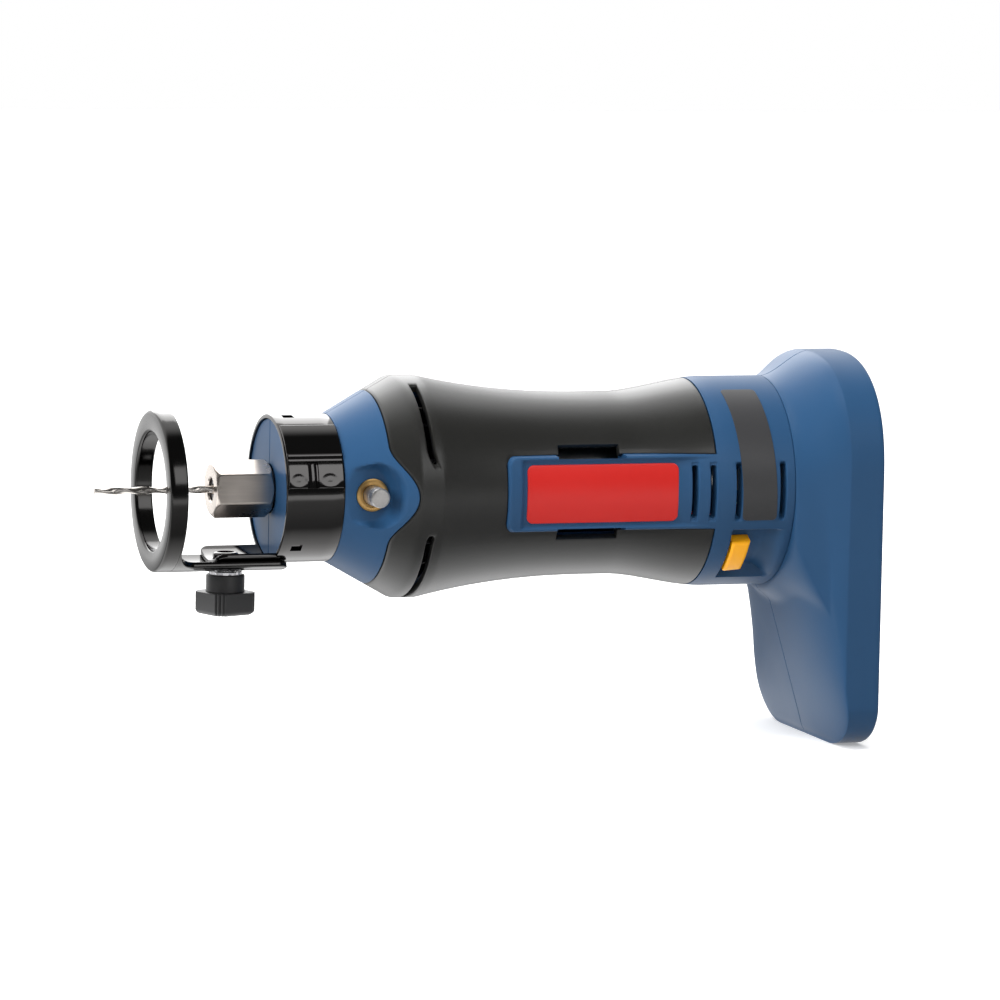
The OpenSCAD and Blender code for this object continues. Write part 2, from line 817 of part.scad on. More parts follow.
// Bit: plain shank, two spiral flutes and a rounded guide point
module cutting_bit() {
    fr = flute_d / 2;
    step_x = thread_front - 2.3;
    flute_len = bit_reach - point_len + step_x;
    color([0.50, 0.50, 0.52]) union() {
        turn([[step_x, 0], [step_x, shank_r], [shank_end - 0.4, shank_r], [shank_end, shank_r - 0.4], [shank_end, 0]]);
        spiral(step_x + 0.2, step_x - flute_len - 0.2, fr);
        turn([[-bit_reach, 0], [-bit_reach + 0.15, fr * 0.5], [-bit_reach + 0.6, fr * 0.85],
              [-bit_reach + 1.4, fr * 0.98], [-bit_reach + point_len, fr * 0.98], [-bit_reach + point_len + 0.8, fr * 0.5],
              [-bit_reach + point_len + 0.8, 0]]);
    }
}

// Sheet collar: band, overlapped strap with its T window, and the tongue that carries the knob
module clamp_collar() {
    color([0.13, 0.13, 0.14]) difference() {
        union() {
            ring(-tongue_len, neck_len - 0.1, collar_in, collar_r);
            sector(1, neck_len - 0.6, collar_r - 0.2, collar_r + 0.7, 27, 85);
        }
        sector(-tongue_len - 1, 0.3, neck_r - 2, collar_r + 2, 180 + tongue_half, 540 - tongue_half);
        for (a = [17, 137, 257])
            sector(2.9, 5.7, neck_r - 1, collar_r + 2, a - 4.2, a + 4.2);
        sector(6.2, 7.2, collar_r + 0.1, collar_r + 2, 60, 86);
        sector(10.6, 11.6, collar_r + 0.1, collar_r + 2, 60, 86);
        post(-bolt_at, -far, 0, bolt_d / 2 + run_gap);
    }
}

// Guide ring and its arm, one casting
module depth_guide() {
    slot_r = bolt_d / 2 + slide_gap;
    color([0.13, 0.13, 0.14]) difference() {
        union() {
            turn([[ring_x, ring_bore / 2 + 0.6], [ring_x, ring_r - 1.6], [ring_x + 0.5, ring_r - 0.5],
                  [ring_x + 1.6, ring_r], [ring_back - 0.5, ring_r], [ring_back, ring_r - 0.5],
                  [ring_back, ring_bore / 2 + 1.2], [ring_x + 2.6, ring_bore / 2 + 1.2],
                  [ring_x + 2.6, ring_bore / 2], [ring_x + 0.6, ring_bore / 2]]);
            sector(ring_back - 1.5, arm_end, arm_in, arm_r, 180 - arm_half, 180 + arm_half);
        }
        post(-bolt_at - guide_in, -far, 0, slot_r);
        post(-bolt_at + guide_out, -far, 0, slot_r);
        block(-bolt_at - guide_in, -bolt_at + guide_out, -slot_r, slot_r, -far, 0);
    }
}

module star_washer() {
    color([0.60, 0.60, 0.60]) translate([-bolt_at, 0, -hub_z]) difference() {
        cylinder(h = washer_t - 0.05, r = bolt_d / 2 + 2.4);
        translate([0, 0, -1]) cylinder(h = 4, r = bolt_d / 2 + run_gap);
        for (i = [0:11])
            rotate([0, 0, i * 30]) translate([bolt_d / 2 + 2.6, 0, 0]) rotate([0, 0, 45]) cube([1, 1, 5], center = true);
    }
}

// Knob: round hub on a square head with cut, ribbed corners
module guide_knob() {
    cut = knob_w * 0.55;
    color([0.07, 0.07, 0.08]) translate([-bolt_at, 0, 0]) difference() {
        union() {
            translate([0, 0, -head_z]) cylinder(h = knob_hub_h - 0.05, r = knob_hub_d / 2);
            translate([0, 0, -knob_end]) intersection() {
                rotate([0, 0, 45]) translate([-knob_w / 2, -knob_w / 2, 0]) cube([knob_w, knob_w, knob_h + 0.1]);
                translate([-cut, -cut, 0]) cube([2 * cut, 2 * cut, knob_h + 0.1]);
            }
        }
        for (q = [0:3]) for (d = [-1.5, -0.5, 0.5, 1.5])
            rotate([0, 0, 90 * q]) translate([cut, d * 1.15, -knob_end - 1]) cylinder(h = knob_h + 2, r = 0.35, $fn = 16);
        translate([0, 0, -knob_end + 3]) cylinder(h = far, r = bolt_d / 2 + seat_gap);
    }
}

module knob_bolt() {
    color([0.70, 0.70, 0.69]) translate([-bolt_at, 0, 0]) rotate([180, 0, 0])
        rotate_extrude() polygon([[0, bolt_top], [bolt_d / 2 - 0.7, bolt_top], [bolt_d / 2, bolt_top + 0.7],
                                  [bolt_d / 2, knob_end - 3.05], [0, knob_end - 3.05]]);
}

// Lock pin with the groove for its clip and the thinner nose that enters the spindle
module lock_pin() {
    color([0.68, 0.68, 0.67]) near() difference() {
        union() {
            rod(lock_at, 0, clip_y - 1.2, pin_reach - 0.5, pin_r);
            translate([lock_at, pin_reach - 0.5, 0]) rotate([-90, 0, 0]) cylinder(h = 0.5, r1 = pin_r, r2 = pin_r - 0.5);
            rod(lock_at, 0, nose_end, clip_y - 1, nose_r);
        }
        difference() {
            rod(lock_at, 0, clip_y - 0.02, clip_y + clip_t + 0.02, far);
            rod(lock_at, 0, clip_y - 1, clip_y + clip_t + 1, pin_r - 0.5);
        }
    }
}

module lock_clip() {
    color([0.30, 0.30, 0.31]) near() difference() {
        rod(lock_at, 0, clip_y, clip_y + clip_t, 4);
        rod(lock_at, 0, clip_y - 1, clip_y + clip_t + 1, pin_r - 0.48);
        block(lock_at - 1.7, lock_at + 1.7, clip_y - 1, clip_y + 3, 0, 9);
    }
}

module lock_bush() {
    color([0.78, 0.60, 0.28]) near() difference() {
        union() {
            rod(lock_at, 0, bush_in, lock_floor + 0.1, 4.3 - seat_gap);
            rod(lock_at, 0, lock_floor + 0.02, lock_floor + 0.7, 4.9);
        }
        rod(lock_at, 0, 0, far, pin_r + run_gap);
    }
}

module lock_spring() {
    color([0.60, 0.60, 0.61]) near() spring(lock_at, 0, spring_end + 0.02, clip_y - 0.02, 3.55, 0.25, 5);
}

// Switch button: curved cap with grip ribs and a foot that reaches into the switch case
module switch_button() {
    color([0.93, 0.70, 0.06]) near() at_switch() union() {
        intersection() {
            difference() {
                block(button_x, button_x + button_w, floor_r + 0.25, far, -button_l / 2, button_l / 2);
                for (x = [1.5, 3, 4.5])
                    translate([button_x + x * button_w / 6, 0, 0]) rotate([0, 0, 0])
                        block(-0.3, 0.3, rear_r - 0.1, far, -far, far);
            }
            translate([button_x - 1, 0, 0]) rotate([0, 90, 0]) cylinder(h = button_w + 2, r = rear_r + 0.5);
        }
        block(button_x + 1.2, button_x + button_w - 1.2, case_top - 2, floor_r + 1, -1.9, 1.9);
    }
}

module switch_case() {
    color([0.10, 0.10, 0.11]) near() at_switch() difference() {
        block(button_x - 3, button_x + 13, case_top - case_h, case_top, -5, 5);
        block(button_x + 0.7, button_x + button_w + switch_travel - 0.7, case_top - 2.4, far, -2.3, 2.3);
    }
}

module cooling_fan() {
    color([0.20, 0.20, 0.21]) difference() {
        union() {
            ring(fan_x, fan_x + fan_len, shaft_r + seat_gap, 5);
            ring(fan_x + fan_len - 1.2, fan_x + fan_len, 4, fan_d / 2);
            for (i = [0:fan_blades - 1])
                rotate([i * 360 / fan_blades, 0, 0])
                    block(fan_x + 0.8, fan_x + fan_len - 0.5, -0.6, 0.6, 4.5, fan_d / 2 - 0.4);
        }
        ring(fan_x - 1, fan_x + fan_len + 1, 0, shaft_r + seat_gap);
    }
}

module motor_shaft() {
    color([0.60, 0.61, 0.63]) ring(rear_x, shaft_end, 0, shaft_r);
}

module motor_can() {
    color([0.58, 0.59, 0.60]) turn([
        [can_x - 2.5, 3.6], [can_x - 2.5, 5.5], [can_x, 5.5], [can_x, motor_r], [can_end, motor_r],
        [can_end, motor_r - can_wall], [can_x + can_wall, motor_r - can_wall], [can_x + can_wall, 3.6]]);
}

module motor_magnets() {
    color([0.20, 0.20, 0.22]) for (a = [30, 210])
        sector(can_x + 6, can_end - 10, core_d / 2 + 0.7, motor_r - can_wall - mould_gap, a, a + 120);
}

module motor_end_cap() {
    color([0.88, 0.88, 0.85]) turn([
        [can_end, 3.6], [can_end, motor_r - 4], [can_end - 2.6, motor_r - 4],
        [can_end - 2.6, motor_r - can_wall - mould_gap], [can_end, motor_r - can_wall - mould_gap], [can_end, motor_r],
        [cap_end, motor_r], [cap_end, 5.5], [cap_end + bush_out, 5.5], [cap_end + bush_out, 3.6]]);
}

module motor_bushes() {
    color([0.74, 0.58, 0.34]) {
        ring(can_x - 2.4, can_x + 1.3, shaft_r + run_gap, 3.6 - seat_gap);
        ring(cap_end, cap_end + bush_out - 0.2, shaft_r + run_gap, 3.6 - seat_gap);
    }
}

core_x = can_x + 10;
core_len = 28;
turns_len = 6;
comm_x = core_x + core_len + turns_len + 0.6;
comm_len = can_end - comm_x - 0.6;
comm_r = 5;
slots = 5;
slot_w = 4.4;

module armature_core() {
    color([0.45, 0.46, 0.48]) difference() {
        ring(core_x, core_x + core_len, shaft_r + seat_gap, core_d / 2);
        for (i = [0:slots - 1]) rotate([i * 360 / slots, 0, 0]) {
            block(core_x - 1, core_x + core_len + 1, -slot_w / 2, slot_w / 2, 5.4, 11.2);
            block(core_x - 1, core_x + core_len + 1, -0.8, 0.8, 6, far);
        }
    }
}

module armature_winding() {
    color([0.66, 0.32, 0.14]) union() {
        ring(core_x - turns_len, core_x - 0.05, 4, 11);
        ring(core_x + core_len + 0.05, core_x + core_len + turns_len, 4, 11);
        for (i = [0:slots - 1]) rotate([i * 360 / slots, 0, 0])
            block(core_x - 1, core_x + core_len + 1, -slot_w / 2 + 0.1, slot_w / 2 - 0.1, 5.5, 10.8);
    }
}

module commutator() {
    color([0.72, 0.42, 0.22]) difference() {
        ring(comm_x, comm_x + comm_len, shaft_r + seat_gap, comm_r);
        for (i = [0:slots - 1]) rotate([i * 360 / slots + 36, 0, 0])
            block(comm_x - 1, comm_x + comm_len + 1, -0.25, 0.25, 3.4, far);
    }
}

brush_x = comm_x + comm_len / 2;
brush_hw = 2;
holder_end = motor_r - 4.4;

module brush_pair(half_x, half_z, y0, y1) {
    for (s = [1, -1]) scale([1, s, 1]) block(brush_x - half_x, brush_x + half_x, y0, y1, -half_z, half_z);
}

module carbon_brushes() {
    color([0.13, 0.13, 0.14]) {
        block(brush_x - 2, brush_x + 2, comm_r + 0.1, 10, -brush_hw, brush_hw);
        block(brush_x - 2, brush_x + 2, -10, -comm_r - 0.1, -brush_hw, brush_hw);
    }
}

module brush_holders() {
    color([0.76, 0.60, 0.30]) for (s = [0, 180]) rotate([s, 0, 0]) difference() {
        block(brush_x - 2.6, brush_x + 2.6, 6.4, holder_end, -brush_hw - 0.6, brush_hw + 0.6);
        block(brush_x - 2.1, brush_x + 2.1, 0, holder_end - 0.6, -brush_hw - 0.1, brush_hw + 0.1);
    }
}

module brush_springs() {
    color([0.62, 0.62, 0.63]) for (s = [0, 180]) rotate([s, 0, 0])
        spring(brush_x, 0, 10.02, holder_end - 0.62, 1.5, 0.22, 3);
}

// Leads: battery to switch, switch to motor, motor back to battery
lead_r = 1.1;
case_in = case_top - case_h;
function on_switch(x, y, z) = let (c = cos(switch_angle), s = sin(switch_angle)) [x, -(c * y + s * z), c * z - s * y];

module lead_switch() {
    end = on_switch(button_x + 11, case_in - 0.05, -1);
    color([0.72, 0.10, 0.10]) tube([
        [socket_front - 3, -0.45 - lead_r, -8], [socket_front - 5, -0.45 - lead_r, -8],
        [socket_front - 6.4, -3, -8], end + [-0.2, 3.6, 2.6], end + [0, 1.6, 1.3], end], lead_r, 8, [0, 0.2, 1]);
}

module lead_motor() {
    end = on_switch(button_x, case_in - 0.05, 1);
    color([0.72, 0.10, 0.10]) tube([
        end, end + [-0.2, 1.5, 1.2], end + [-3, 2.6, 1.9], [cap_end + 12, -11, -8],
        [cap_end + 5, -11, -6], [cap_end + 2, -11, -6], [cap_end + 0.05, -11, -6]], lead_r, 8, [0, 0.2, 1]);
}

module lead_return() {
    color([0.08, 0.08, 0.09]) tube([
        [socket_front - 3, 0.45 + lead_r, 9], [socket_front - 6, 0.45 + lead_r, 9], [socket_front - 10, 5, 9],
        [cap_end + 14, 10, 7], [cap_end + 6, 11, 6], [cap_end + 2, 11, 6], [cap_end + 0.05, 11, 6]],
        lead_r, 8, [0, 0.2, 1]);
}

place() body_shell_left();
place() body_shell_right();
place() grip_left();
place() grip_right();
place() battery_housing_left();
place() battery_housing_right();
place() battery_socket();
place() battery_terminals();
place() name_plate();
place() far_plate();
place() label_patch();
place() housing_screws();
place() front_bearing_outer();
place() front_bearing_inner();
place() front_bearing_balls();
place() front_bearing_cage();
place() rear_bearing_outer();
place() rear_bearing_inner();
place() rear_bearing_balls();
place() rear_bearing_cage();
place() spindle();
place() spindle_circlip();
place() collet();
place() collet_nut();
place() cutting_bit();
place() clamp_collar();
place() depth_guide();
place() star_washer();
place() guide_knob();
place() knob_bolt();
place() lock_pin();
place() lock_clip();
place() lock_bush();
place() lock_spring();
place() switch_button();
place() switch_case();
place() cooling_fan();
place() motor_shaft();
place() motor_can();
place() motor_magnets();
place() motor_end_cap();
place() motor_bushes();
place() armature_core();
place() armature_winding();
place() commutator();
place() carbon_brushes();
place() brush_holders();
place() brush_springs();
place() lead_switch();
place() lead_motor();
place() lead_return();
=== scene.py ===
"""Looks of a cordless drywall cut-out tool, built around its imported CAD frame."""
import math

import bpy
import numpy as np
from mathutils import Matrix, Vector


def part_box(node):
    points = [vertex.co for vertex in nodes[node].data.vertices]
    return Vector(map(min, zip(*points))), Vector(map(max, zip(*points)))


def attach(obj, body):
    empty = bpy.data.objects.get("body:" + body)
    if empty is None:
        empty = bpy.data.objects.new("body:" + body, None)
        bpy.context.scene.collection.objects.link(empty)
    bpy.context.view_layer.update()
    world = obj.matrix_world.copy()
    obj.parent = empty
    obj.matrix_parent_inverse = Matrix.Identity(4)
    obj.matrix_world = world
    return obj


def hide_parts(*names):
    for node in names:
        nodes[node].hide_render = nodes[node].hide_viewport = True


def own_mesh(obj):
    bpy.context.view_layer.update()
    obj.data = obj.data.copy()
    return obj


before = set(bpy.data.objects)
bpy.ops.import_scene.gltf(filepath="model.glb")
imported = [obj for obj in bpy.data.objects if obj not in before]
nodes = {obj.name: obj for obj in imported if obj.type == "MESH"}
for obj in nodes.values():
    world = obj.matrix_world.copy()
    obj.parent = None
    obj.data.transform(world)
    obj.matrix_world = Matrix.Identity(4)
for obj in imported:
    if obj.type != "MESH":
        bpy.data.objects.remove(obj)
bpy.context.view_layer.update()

# Motor and fan: a steel can with ferrite magnets, a nylon end cap and a wound armature.
# They are bought-in parts, so each keeps its CAD shape and gets the finish of its metal or plastic.


def effect(name, inputs, outputs):
    """Empty shader node group with float inputs (name, value) and the outputs named."""
    group = bpy.data.node_groups.new(name, "ShaderNodeTree")
    for label, value in inputs:
        socket = group.interface.new_socket(label, in_out="INPUT", socket_type="NodeSocketFloat")
        socket.default_value = value
    for label in outputs:
        group.interface.new_socket(label, in_out="OUTPUT", socket_type="NodeSocketFloat")
    return group, group.nodes.new("NodeGroupInput"), group.nodes.new("NodeGroupOutput")


def add_node(tree, kind, inputs, **settings):
    """New shader node with its settings; each input is given as a value or as the socket that feeds it."""
    node = tree.nodes.new("ShaderNode" + kind)
    for setting, value in settings.items():
        setattr(node, setting, value)
    for label, value in inputs.items():
        if isinstance(value, bpy.types.NodeSocket):
            tree.links.new(value, node.inputs[label])
        else:
            node.inputs[label].default_value = value
    return node


def noise_of(tree, vector, scale, detail):
    """Noise texture read at a vector socket; scale is a number or a socket."""
    return add_node(tree, "TexNoise", {"Vector": vector, "Scale": scale, "Detail": detail}).outputs["Fac"]


def moulded_grain():
    """Group for moulded surfaces: Height is the fine spark-eroded grain, Tone a slow drift of shade."""
    group, given, put = effect("moulded_grain", [("Grain", 2600.0), ("Drift", 30.0)], ["Height", "Tone"])
    place = group.nodes.new("ShaderNodeTexCoord").outputs["Object"]
    group.links.new(noise_of(group, place, given.outputs["Grain"], 2.0), put.inputs["Height"])
    group.links.new(noise_of(group, place, given.outputs["Drift"], 4.0), put.inputs["Tone"])
    return group


def drawn_lines():
    """Group for worked metal: Streak is noise stretched by the three inputs, Smudge a slow drift."""
    scales = [("X", 60.0), ("Y", 2400.0), ("Z", 2400.0)]
    group, given, put = effect("drawn_lines", scales, ["Streak", "Smudge"])
    place = group.nodes.new("ShaderNodeTexCoord").outputs["Object"]
    stretch = add_node(group, "CombineXYZ", {axis: given.outputs[axis] for axis in "XYZ"})
    scaled = add_node(group, "VectorMath", {0: place, 1: stretch.outputs[0]}, operation="MULTIPLY")
    group.links.new(noise_of(group, scaled.outputs[0], 1.0, 3.0), put.inputs["Streak"])
    group.links.new(noise_of(group, place, 90.0, 3.0), put.inputs["Smudge"])
    return group


GRAIN = moulded_grain()
GRAIN_DEPTH = 0.00006
GRAIN_ROUGH = (0.92, 1.08)
LINES = drawn_lines()
LINES_DEPTH = 0.00005
LINES_ROUGH = (0.8, 1.25)


def shader(name, metallic=0.0):
    """New material: its node tree and its Principled shader."""
    material = bpy.data.materials.new(name)
    material.use_nodes = True
    principled = material.node_tree.nodes["Principled BSDF"]
    principled.inputs["Metallic"].default_value = metallic
    return material, material.node_tree, principled


def shade_between(tree, factor, low, high, socket):
    """Colour that runs from low to high with a factor socket, into a colour socket."""
    mix = add_node(tree, "Mix", {0: factor, 6: (*low, 1.0), 7: (*high, 1.0)}, data_type="RGBA")
    tree.links.new(mix.outputs[2], socket)


def value_between(tree, factor, low, high, socket):
    """Number that runs from low to high as a factor socket runs from 0.25 to 0.75."""
    limits = {"Value": factor, "From Min": 0.25, "From Max": 0.75, "To Min": low, "To Max": high}
    tree.links.new(add_node(tree, "MapRange", limits).outputs["Result"], socket)


def raise_by(tree, height, strength, distance, principled):
    """Bump from a height socket into the shader's normal; distance is in metres."""
    bump = add_node(tree, "Bump", {"Height": height, "Strength": strength, "Distance": distance})
    tree.links.new(bump.outputs["Normal"], principled.inputs["Normal"])


def tinted(colour, vary):
    """Darkest and lightest shade of a colour that varies by a share of itself."""
    return [c * (1 - vary) for c in colour], [c * (1 + vary) for c in colour]


def moulded(name, colour, rough, grain=2600.0, bump=0.25, vary=0.08, specular=0.5):
    """Moulded plastic or rubber: its colour and roughness drift a little, and a fine grain is pressed in."""
    material, tree, principled = shader(name)
    group = add_node(tree, "Group", {"Grain": grain}, node_tree=GRAIN)
    principled.inputs["Specular IOR Level"].default_value = specular
    low, high = [rough * share for share in GRAIN_ROUGH]
    shade_between(tree, group.outputs["Tone"], *tinted(colour, vary), principled.inputs["Base Color"])
    value_between(tree, group.outputs["Tone"], low, high, principled.inputs["Roughness"])
    raise_by(tree, group.outputs["Height"], bump, GRAIN_DEPTH, principled)
    return material


def worked(name, colour, rough, along="X", fine=2400.0, coarse=60.0, bump=0.08, vary=0.1):
    """Worked metal: streaks along one axis vary the colour and press a grain, smudges the roughness."""
    material, tree, principled = shader(name, 1.0)
    scales = {axis: coarse if axis == along else fine for axis in "XYZ"}
    group = add_node(tree, "Group", scales, node_tree=LINES)
    low, high = [rough * share for share in LINES_ROUGH]
    shade_between(tree, group.outputs["Streak"], *tinted(colour, vary), principled.inputs["Base Color"])
    value_between(tree, group.outputs["Smudge"], low, high, principled.inputs["Roughness"])
    raise_by(tree, group.outputs["Streak"], bump, LINES_DEPTH, principled)
    return material


def dress(material, *names):
    """Gives a material to CAD nodes that keep their shape."""
    for name in names:
        mesh = nodes[name].data
        mesh.materials.clear()
        mesh.materials.append(material)


motor_steel = worked("motor_steel", (0.58, 0.59, 0.60), 0.34, fine=900.0)
magnet_ferrite = moulded("magnet_ferrite", (0.10, 0.10, 0.11), 0.62, grain=1800.0)
nylon_white = moulded("nylon_white", (0.78, 0.78, 0.73), 0.42, grain=1500.0, vary=0.04)
copper_wire = worked("copper_wire", (0.72, 0.30, 0.12), 0.32, fine=2600.0, coarse=200.0, bump=0.5)
carbon_block = moulded("carbon_block", (0.03, 0.03, 0.032), 0.55)
fan_nylon = moulded("fan_nylon", (0.035, 0.035, 0.037), 0.48)
dress(motor_steel, "motor_can", "armature_core")
dress(magnet_ferrite, "motor_magnets")
dress(nylon_white, "motor_end_cap")
dress(copper_wire, "armature_winding", "commutator")
dress(carbon_block, "carbon_brushes")
dress(fan_nylon, "cooling_fan")

# Spindle, bearings and collet: ground steel, brass cages and bushes, dark steel clips and screws. The collet
# is dressed in the dark steel too, darker than its own ground steel: painted shade inside the nut's hole.
# They are turned parts inside the nose, and each keeps its CAD shape.
ground_steel = worked("ground_steel", (0.60, 0.60, 0.61), 0.24, fine=1500.0)
race_steel = worked("race_steel", (0.70, 0.70, 0.72), 0.16, fine=1800.0, bump=0.03)
turned_brass = worked("turned_brass", (0.76, 0.55, 0.24), 0.26, fine=1500.0)
dark_steel_and_painted_shade = worked("dark_steel_and_painted_shade", (0.26, 0.26, 0.27), 0.36, along="Y", fine=1500.0)
dress(ground_steel, "spindle", "motor_shaft", "brush_springs")
dress(race_steel, "front_bearing_outer", "front_bearing_inner", "front_bearing_balls",
      "rear_bearing_outer", "rear_bearing_inner", "rear_bearing_balls")
dress(turned_brass, "front_bearing_cage", "rear_bearing_cage", "motor_bushes", "brush_holders")
# The collet's dark steel is painted shade for the inside of the nut's hole; the clips and screws are dark
# steel in their own right.
dress(dark_steel_and_painted_shade, "spindle_circlip", "lock_clip", "housing_screws", "collet")

# Battery socket, switch case and leads: black nylon, plated brass terminals and PVC-covered wire.
# The socket takes the stem of the battery, and its terminals are wired to the switch and the motor.
black_nylon = moulded("black_nylon", (0.030, 0.030, 0.032), 0.46, grain=2000.0)
plated_brass = worked("plated_brass", (0.80, 0.64, 0.34), 0.28, fine=1200.0)
red_wire = moulded("red_wire", (0.50, 0.03, 0.03), 0.40, bump=0.05)
black_wire = moulded("black_wire", (0.020, 0.020, 0.022), 0.40, bump=0.05)
dress(black_nylon, "battery_socket", "switch_case")
dress(plated_brass, "battery_terminals")
dress(red_wire, "lead_switch", "lead_motor")
dress(black_wire, "lead_return")

# Body halves: blue glass-filled nylon, moulded in two halves that meet on the upright middle plane.
# Each half has the nose, the cone with its lobe, a label panel, the intake slots and the rear barrel.
# All shapes are worked out in millimetres from the middle of the nose face, then seated in the frame.
axis_low, axis_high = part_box("motor_can")
ORIGIN = np.array([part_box("body_shell_left")[0].x, 0.0, (axis_low.z + axis_high.z) / 2])


def span(node):
    """Lowest and highest corner of a CAD node in millimetres from the middle of the nose face."""
    low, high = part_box(node)
    return (np.array(low) - ORIGIN) * 1000, (np.array(high) - ORIGIN) * 1000


X_SEAM = span("battery_housing_left")[0][0]
X_GRIP_END = span("grip_left")[1][0] + 0.9
X_CONE = 17.0
X_EDGE = 29.2
X_BULGE = 37.0
X_SWELL_FRONT = 44.0
X_WAIST = 96.0
X_WAIST_END = 104.0
X_FULL = X_SEAM - 19.0
NECK_R = 20.8
SHOULDER_R = 22.05
BULGE_R = 33.3
WAIST_R = 27.6
REAR_R = 31.8
WAIST_POWER = 2.1
SKIN = 2.25
LOCK_X = 25.2


def ease(t):
    """Smooth step 3t^2 - 2t^3 between 0 and 1."""
    t = np.clip(t, 0.0, 1.0)
    return t * t * (3 - 2 * t)


def soft_min(a, b, k):
    """The lower of a and b, rounded over a band of width k where they cross."""
    h = np.clip(0.5 + 0.5 * (b - a) / k, 0.0, 1.0)
    return b * (1 - h) + a * h - k * h * (1 - h)


def soft_max(a, b, k):
    """The higher of a and b, rounded over a band of width k."""
    return -soft_min(-a, -b, k)


def lip(distance, radius):
    """Drop of a rounded edge of that radius at a distance from the edge."""
    inside = np.clip(distance, 0.0, radius)
    return radius - np.sqrt(radius ** 2 - (radius - inside) ** 2)


def stations(*runs):
    """Rising stations from runs of (start, stop, step)."""
    parts = [np.linspace(a, b, max(2, int(round((b - a) / step)) + 1)) for a, b, step in runs]
    return np.unique(np.round(np.concatenate(parts), 4))


def body_radius(x):
    """Outside radius of the body: neck, straight cone, swelling, waist curve, waist and rear barrel."""
    cone = SHOULDER_R + (BULGE_R - SHOULDER_R) * (x - X_CONE) / (X_BULGE - X_CONE)
    reach = np.clip((X_WAIST - x) / (X_WAIST - X_SWELL_FRONT), 0.0, 1.0)
    waist = WAIST_R + (BULGE_R - WAIST_R) * reach ** WAIST_POWER
    swell = WAIST_R + (REAR_R - WAIST_R) * ease((x - X_WAIST_END) / (X_FULL - X_WAIST_END))
    runs = [x < X_CONE, x < X_BULGE, x < X_WAIST_END]
    return np.select(runs, [NECK_R + 0 * x, np.minimum(cone, BULGE_R), waist], swell)


def seat(x, y, z):
    """Grids of millimetres from the nose face into one array of row-frame metres."""
    return np.stack(np.broadcast_arrays(x, y, z), axis=-1) * 0.001 + ORIGIN


def slab(outer, inner, kept=None, ring=False):
    """Closed solid between two grids of points. Kept cells are faced on both grids, and each border of the
    kept area, at the edge of the grid or round an opening, gets a wall. A ring joins its last column to its
    first."""
    rows, columns = outer.shape[:2]
    index = np.arange(rows * columns).reshape(rows, columns)
    if ring:
        index = np.hstack([index, index[:, :1]])
    if kept is None:
        kept = np.ones((index.shape[0] - 1, index.shape[1] - 1), bool)
    back = rows * columns
    a, b, c, d = index[:-1, :-1], index[1:, :-1], index[1:, 1:], index[:-1, 1:]
    faces = [np.stack([a, b, c, d], -1)[kept], np.stack([d, c, b, a], -1)[kept] + back]
    tall = np.pad(kept, ((1, 1), (0, 0)))
    wide = np.pad(kept, ((0, 0), (1, 1)), mode="wrap" if ring else "constant")
    opens, closes = wide[:, 1:] & ~wide[:, :-1], wide[:, :-1] & ~wide[:, 1:]
    if ring:
        opens[:, -1] = closes[:, -1] = False
    starts, ends, tops, feet = index[:, :-1], index[:, 1:], index[:-1], index[1:]
    borders = ((starts, ends, tall[1:] & ~tall[:-1]), (ends, starts, tall[:-1] & ~tall[1:]),
               (feet, tops, opens), (tops, feet, closes))
    for first, second, mask in borders:
        p, q = first[mask], second[mask]
        faces.append(np.stack([p, q, q + back, p + back], -1))
    points = np.concatenate([outer.reshape(-1, 3), inner.reshape(-1, 3)])
    return points, np.concatenate(faces)


def capped(grid):
    """Closed solid from rings of points: columns run round, and a fan closes the first and the last ring."""
    rows, columns = grid.shape[:2]
    index = np.arange(rows * columns).reshape(rows, columns)
    after = np.roll(index, -1, axis=1)
    quads = np.stack([index[:-1], index[1:], after[1:], after[:-1]], -1).reshape(-1, 4)
    tip = np.full(columns, rows * columns)
    fans = [np.stack([index[0], after[0], tip], -1), np.stack([after[-1], index[-1], tip + 1], -1)]
    points = np.concatenate([grid.reshape(-1, 3), [grid[0].mean(0), grid[-1].mean(0)]])
    return points, quads, np.concatenate(fans)


def six_volumes(points, faces):
    """Six times the signed volume under flat faces, seen from the origin."""
    corner = points[faces]
    halves = [np.cross(corner[:, k], corner[:, k + 1]) for k in range(1, faces.shape[1] - 1)]
    return sum(np.einsum("ij,ij", corner[:, 0], half) for half in halves)


def shape(name, solids, material, sharp=38.0):
    """Mesh object at the origin from closed solids (points, quads, triangles), its faces turned outward and
    shaded smooth but for edges sharper than an angle."""
    points, quads, fans, start = [], [], [], 0
    for solid in solids:
        place, four = solid[0], solid[1]
        three = solid[2] if len(solid) > 2 else np.zeros((0, 3), int)
        middle = place - place.mean(0)
        order = 1 if six_volumes(middle, four) + six_volumes(middle, three) > 0 else -1
        points.append(place)
        quads.append(four[:, ::order] + start)
        fans.append(three[:, ::order] + start)
        start += len(place)
    points, quads, fans = np.concatenate(points), np.concatenate(quads), np.concatenate(fans)
    used, places = np.unique(np.concatenate([quads.ravel(), fans.ravel()]), return_inverse=True)
    quads = places[:quads.size].reshape(-1, 4)
    fans = places[quads.size:].reshape(-1, 3)
    mesh = bpy.data.meshes.new(name)
    mesh.from_pydata(points[used].tolist(), [], quads.tolist() + fans.tolist())
    mesh.validate()
    mesh.shade_smooth()
    mesh.set_sharp_from_angle(angle=math.radians(sharp))
    mesh.materials.append(material)
    piece = bpy.data.objects.new(name, mesh)
    bpy.context.scene.collection.objects.link(piece)
    return piece


WAVE_REACH = 7.3
WAVE_HALF = 15.0
WAVE_END = 26.0


def wave(z):
    """How far the blue lobe pushes the rubber's front edge back, a raised cosine of the height z."""
    return WAVE_REACH * 0.5 * (1 + np.cos(np.pi * np.clip(np.abs(z) / WAVE_HALF, 0, 1)))


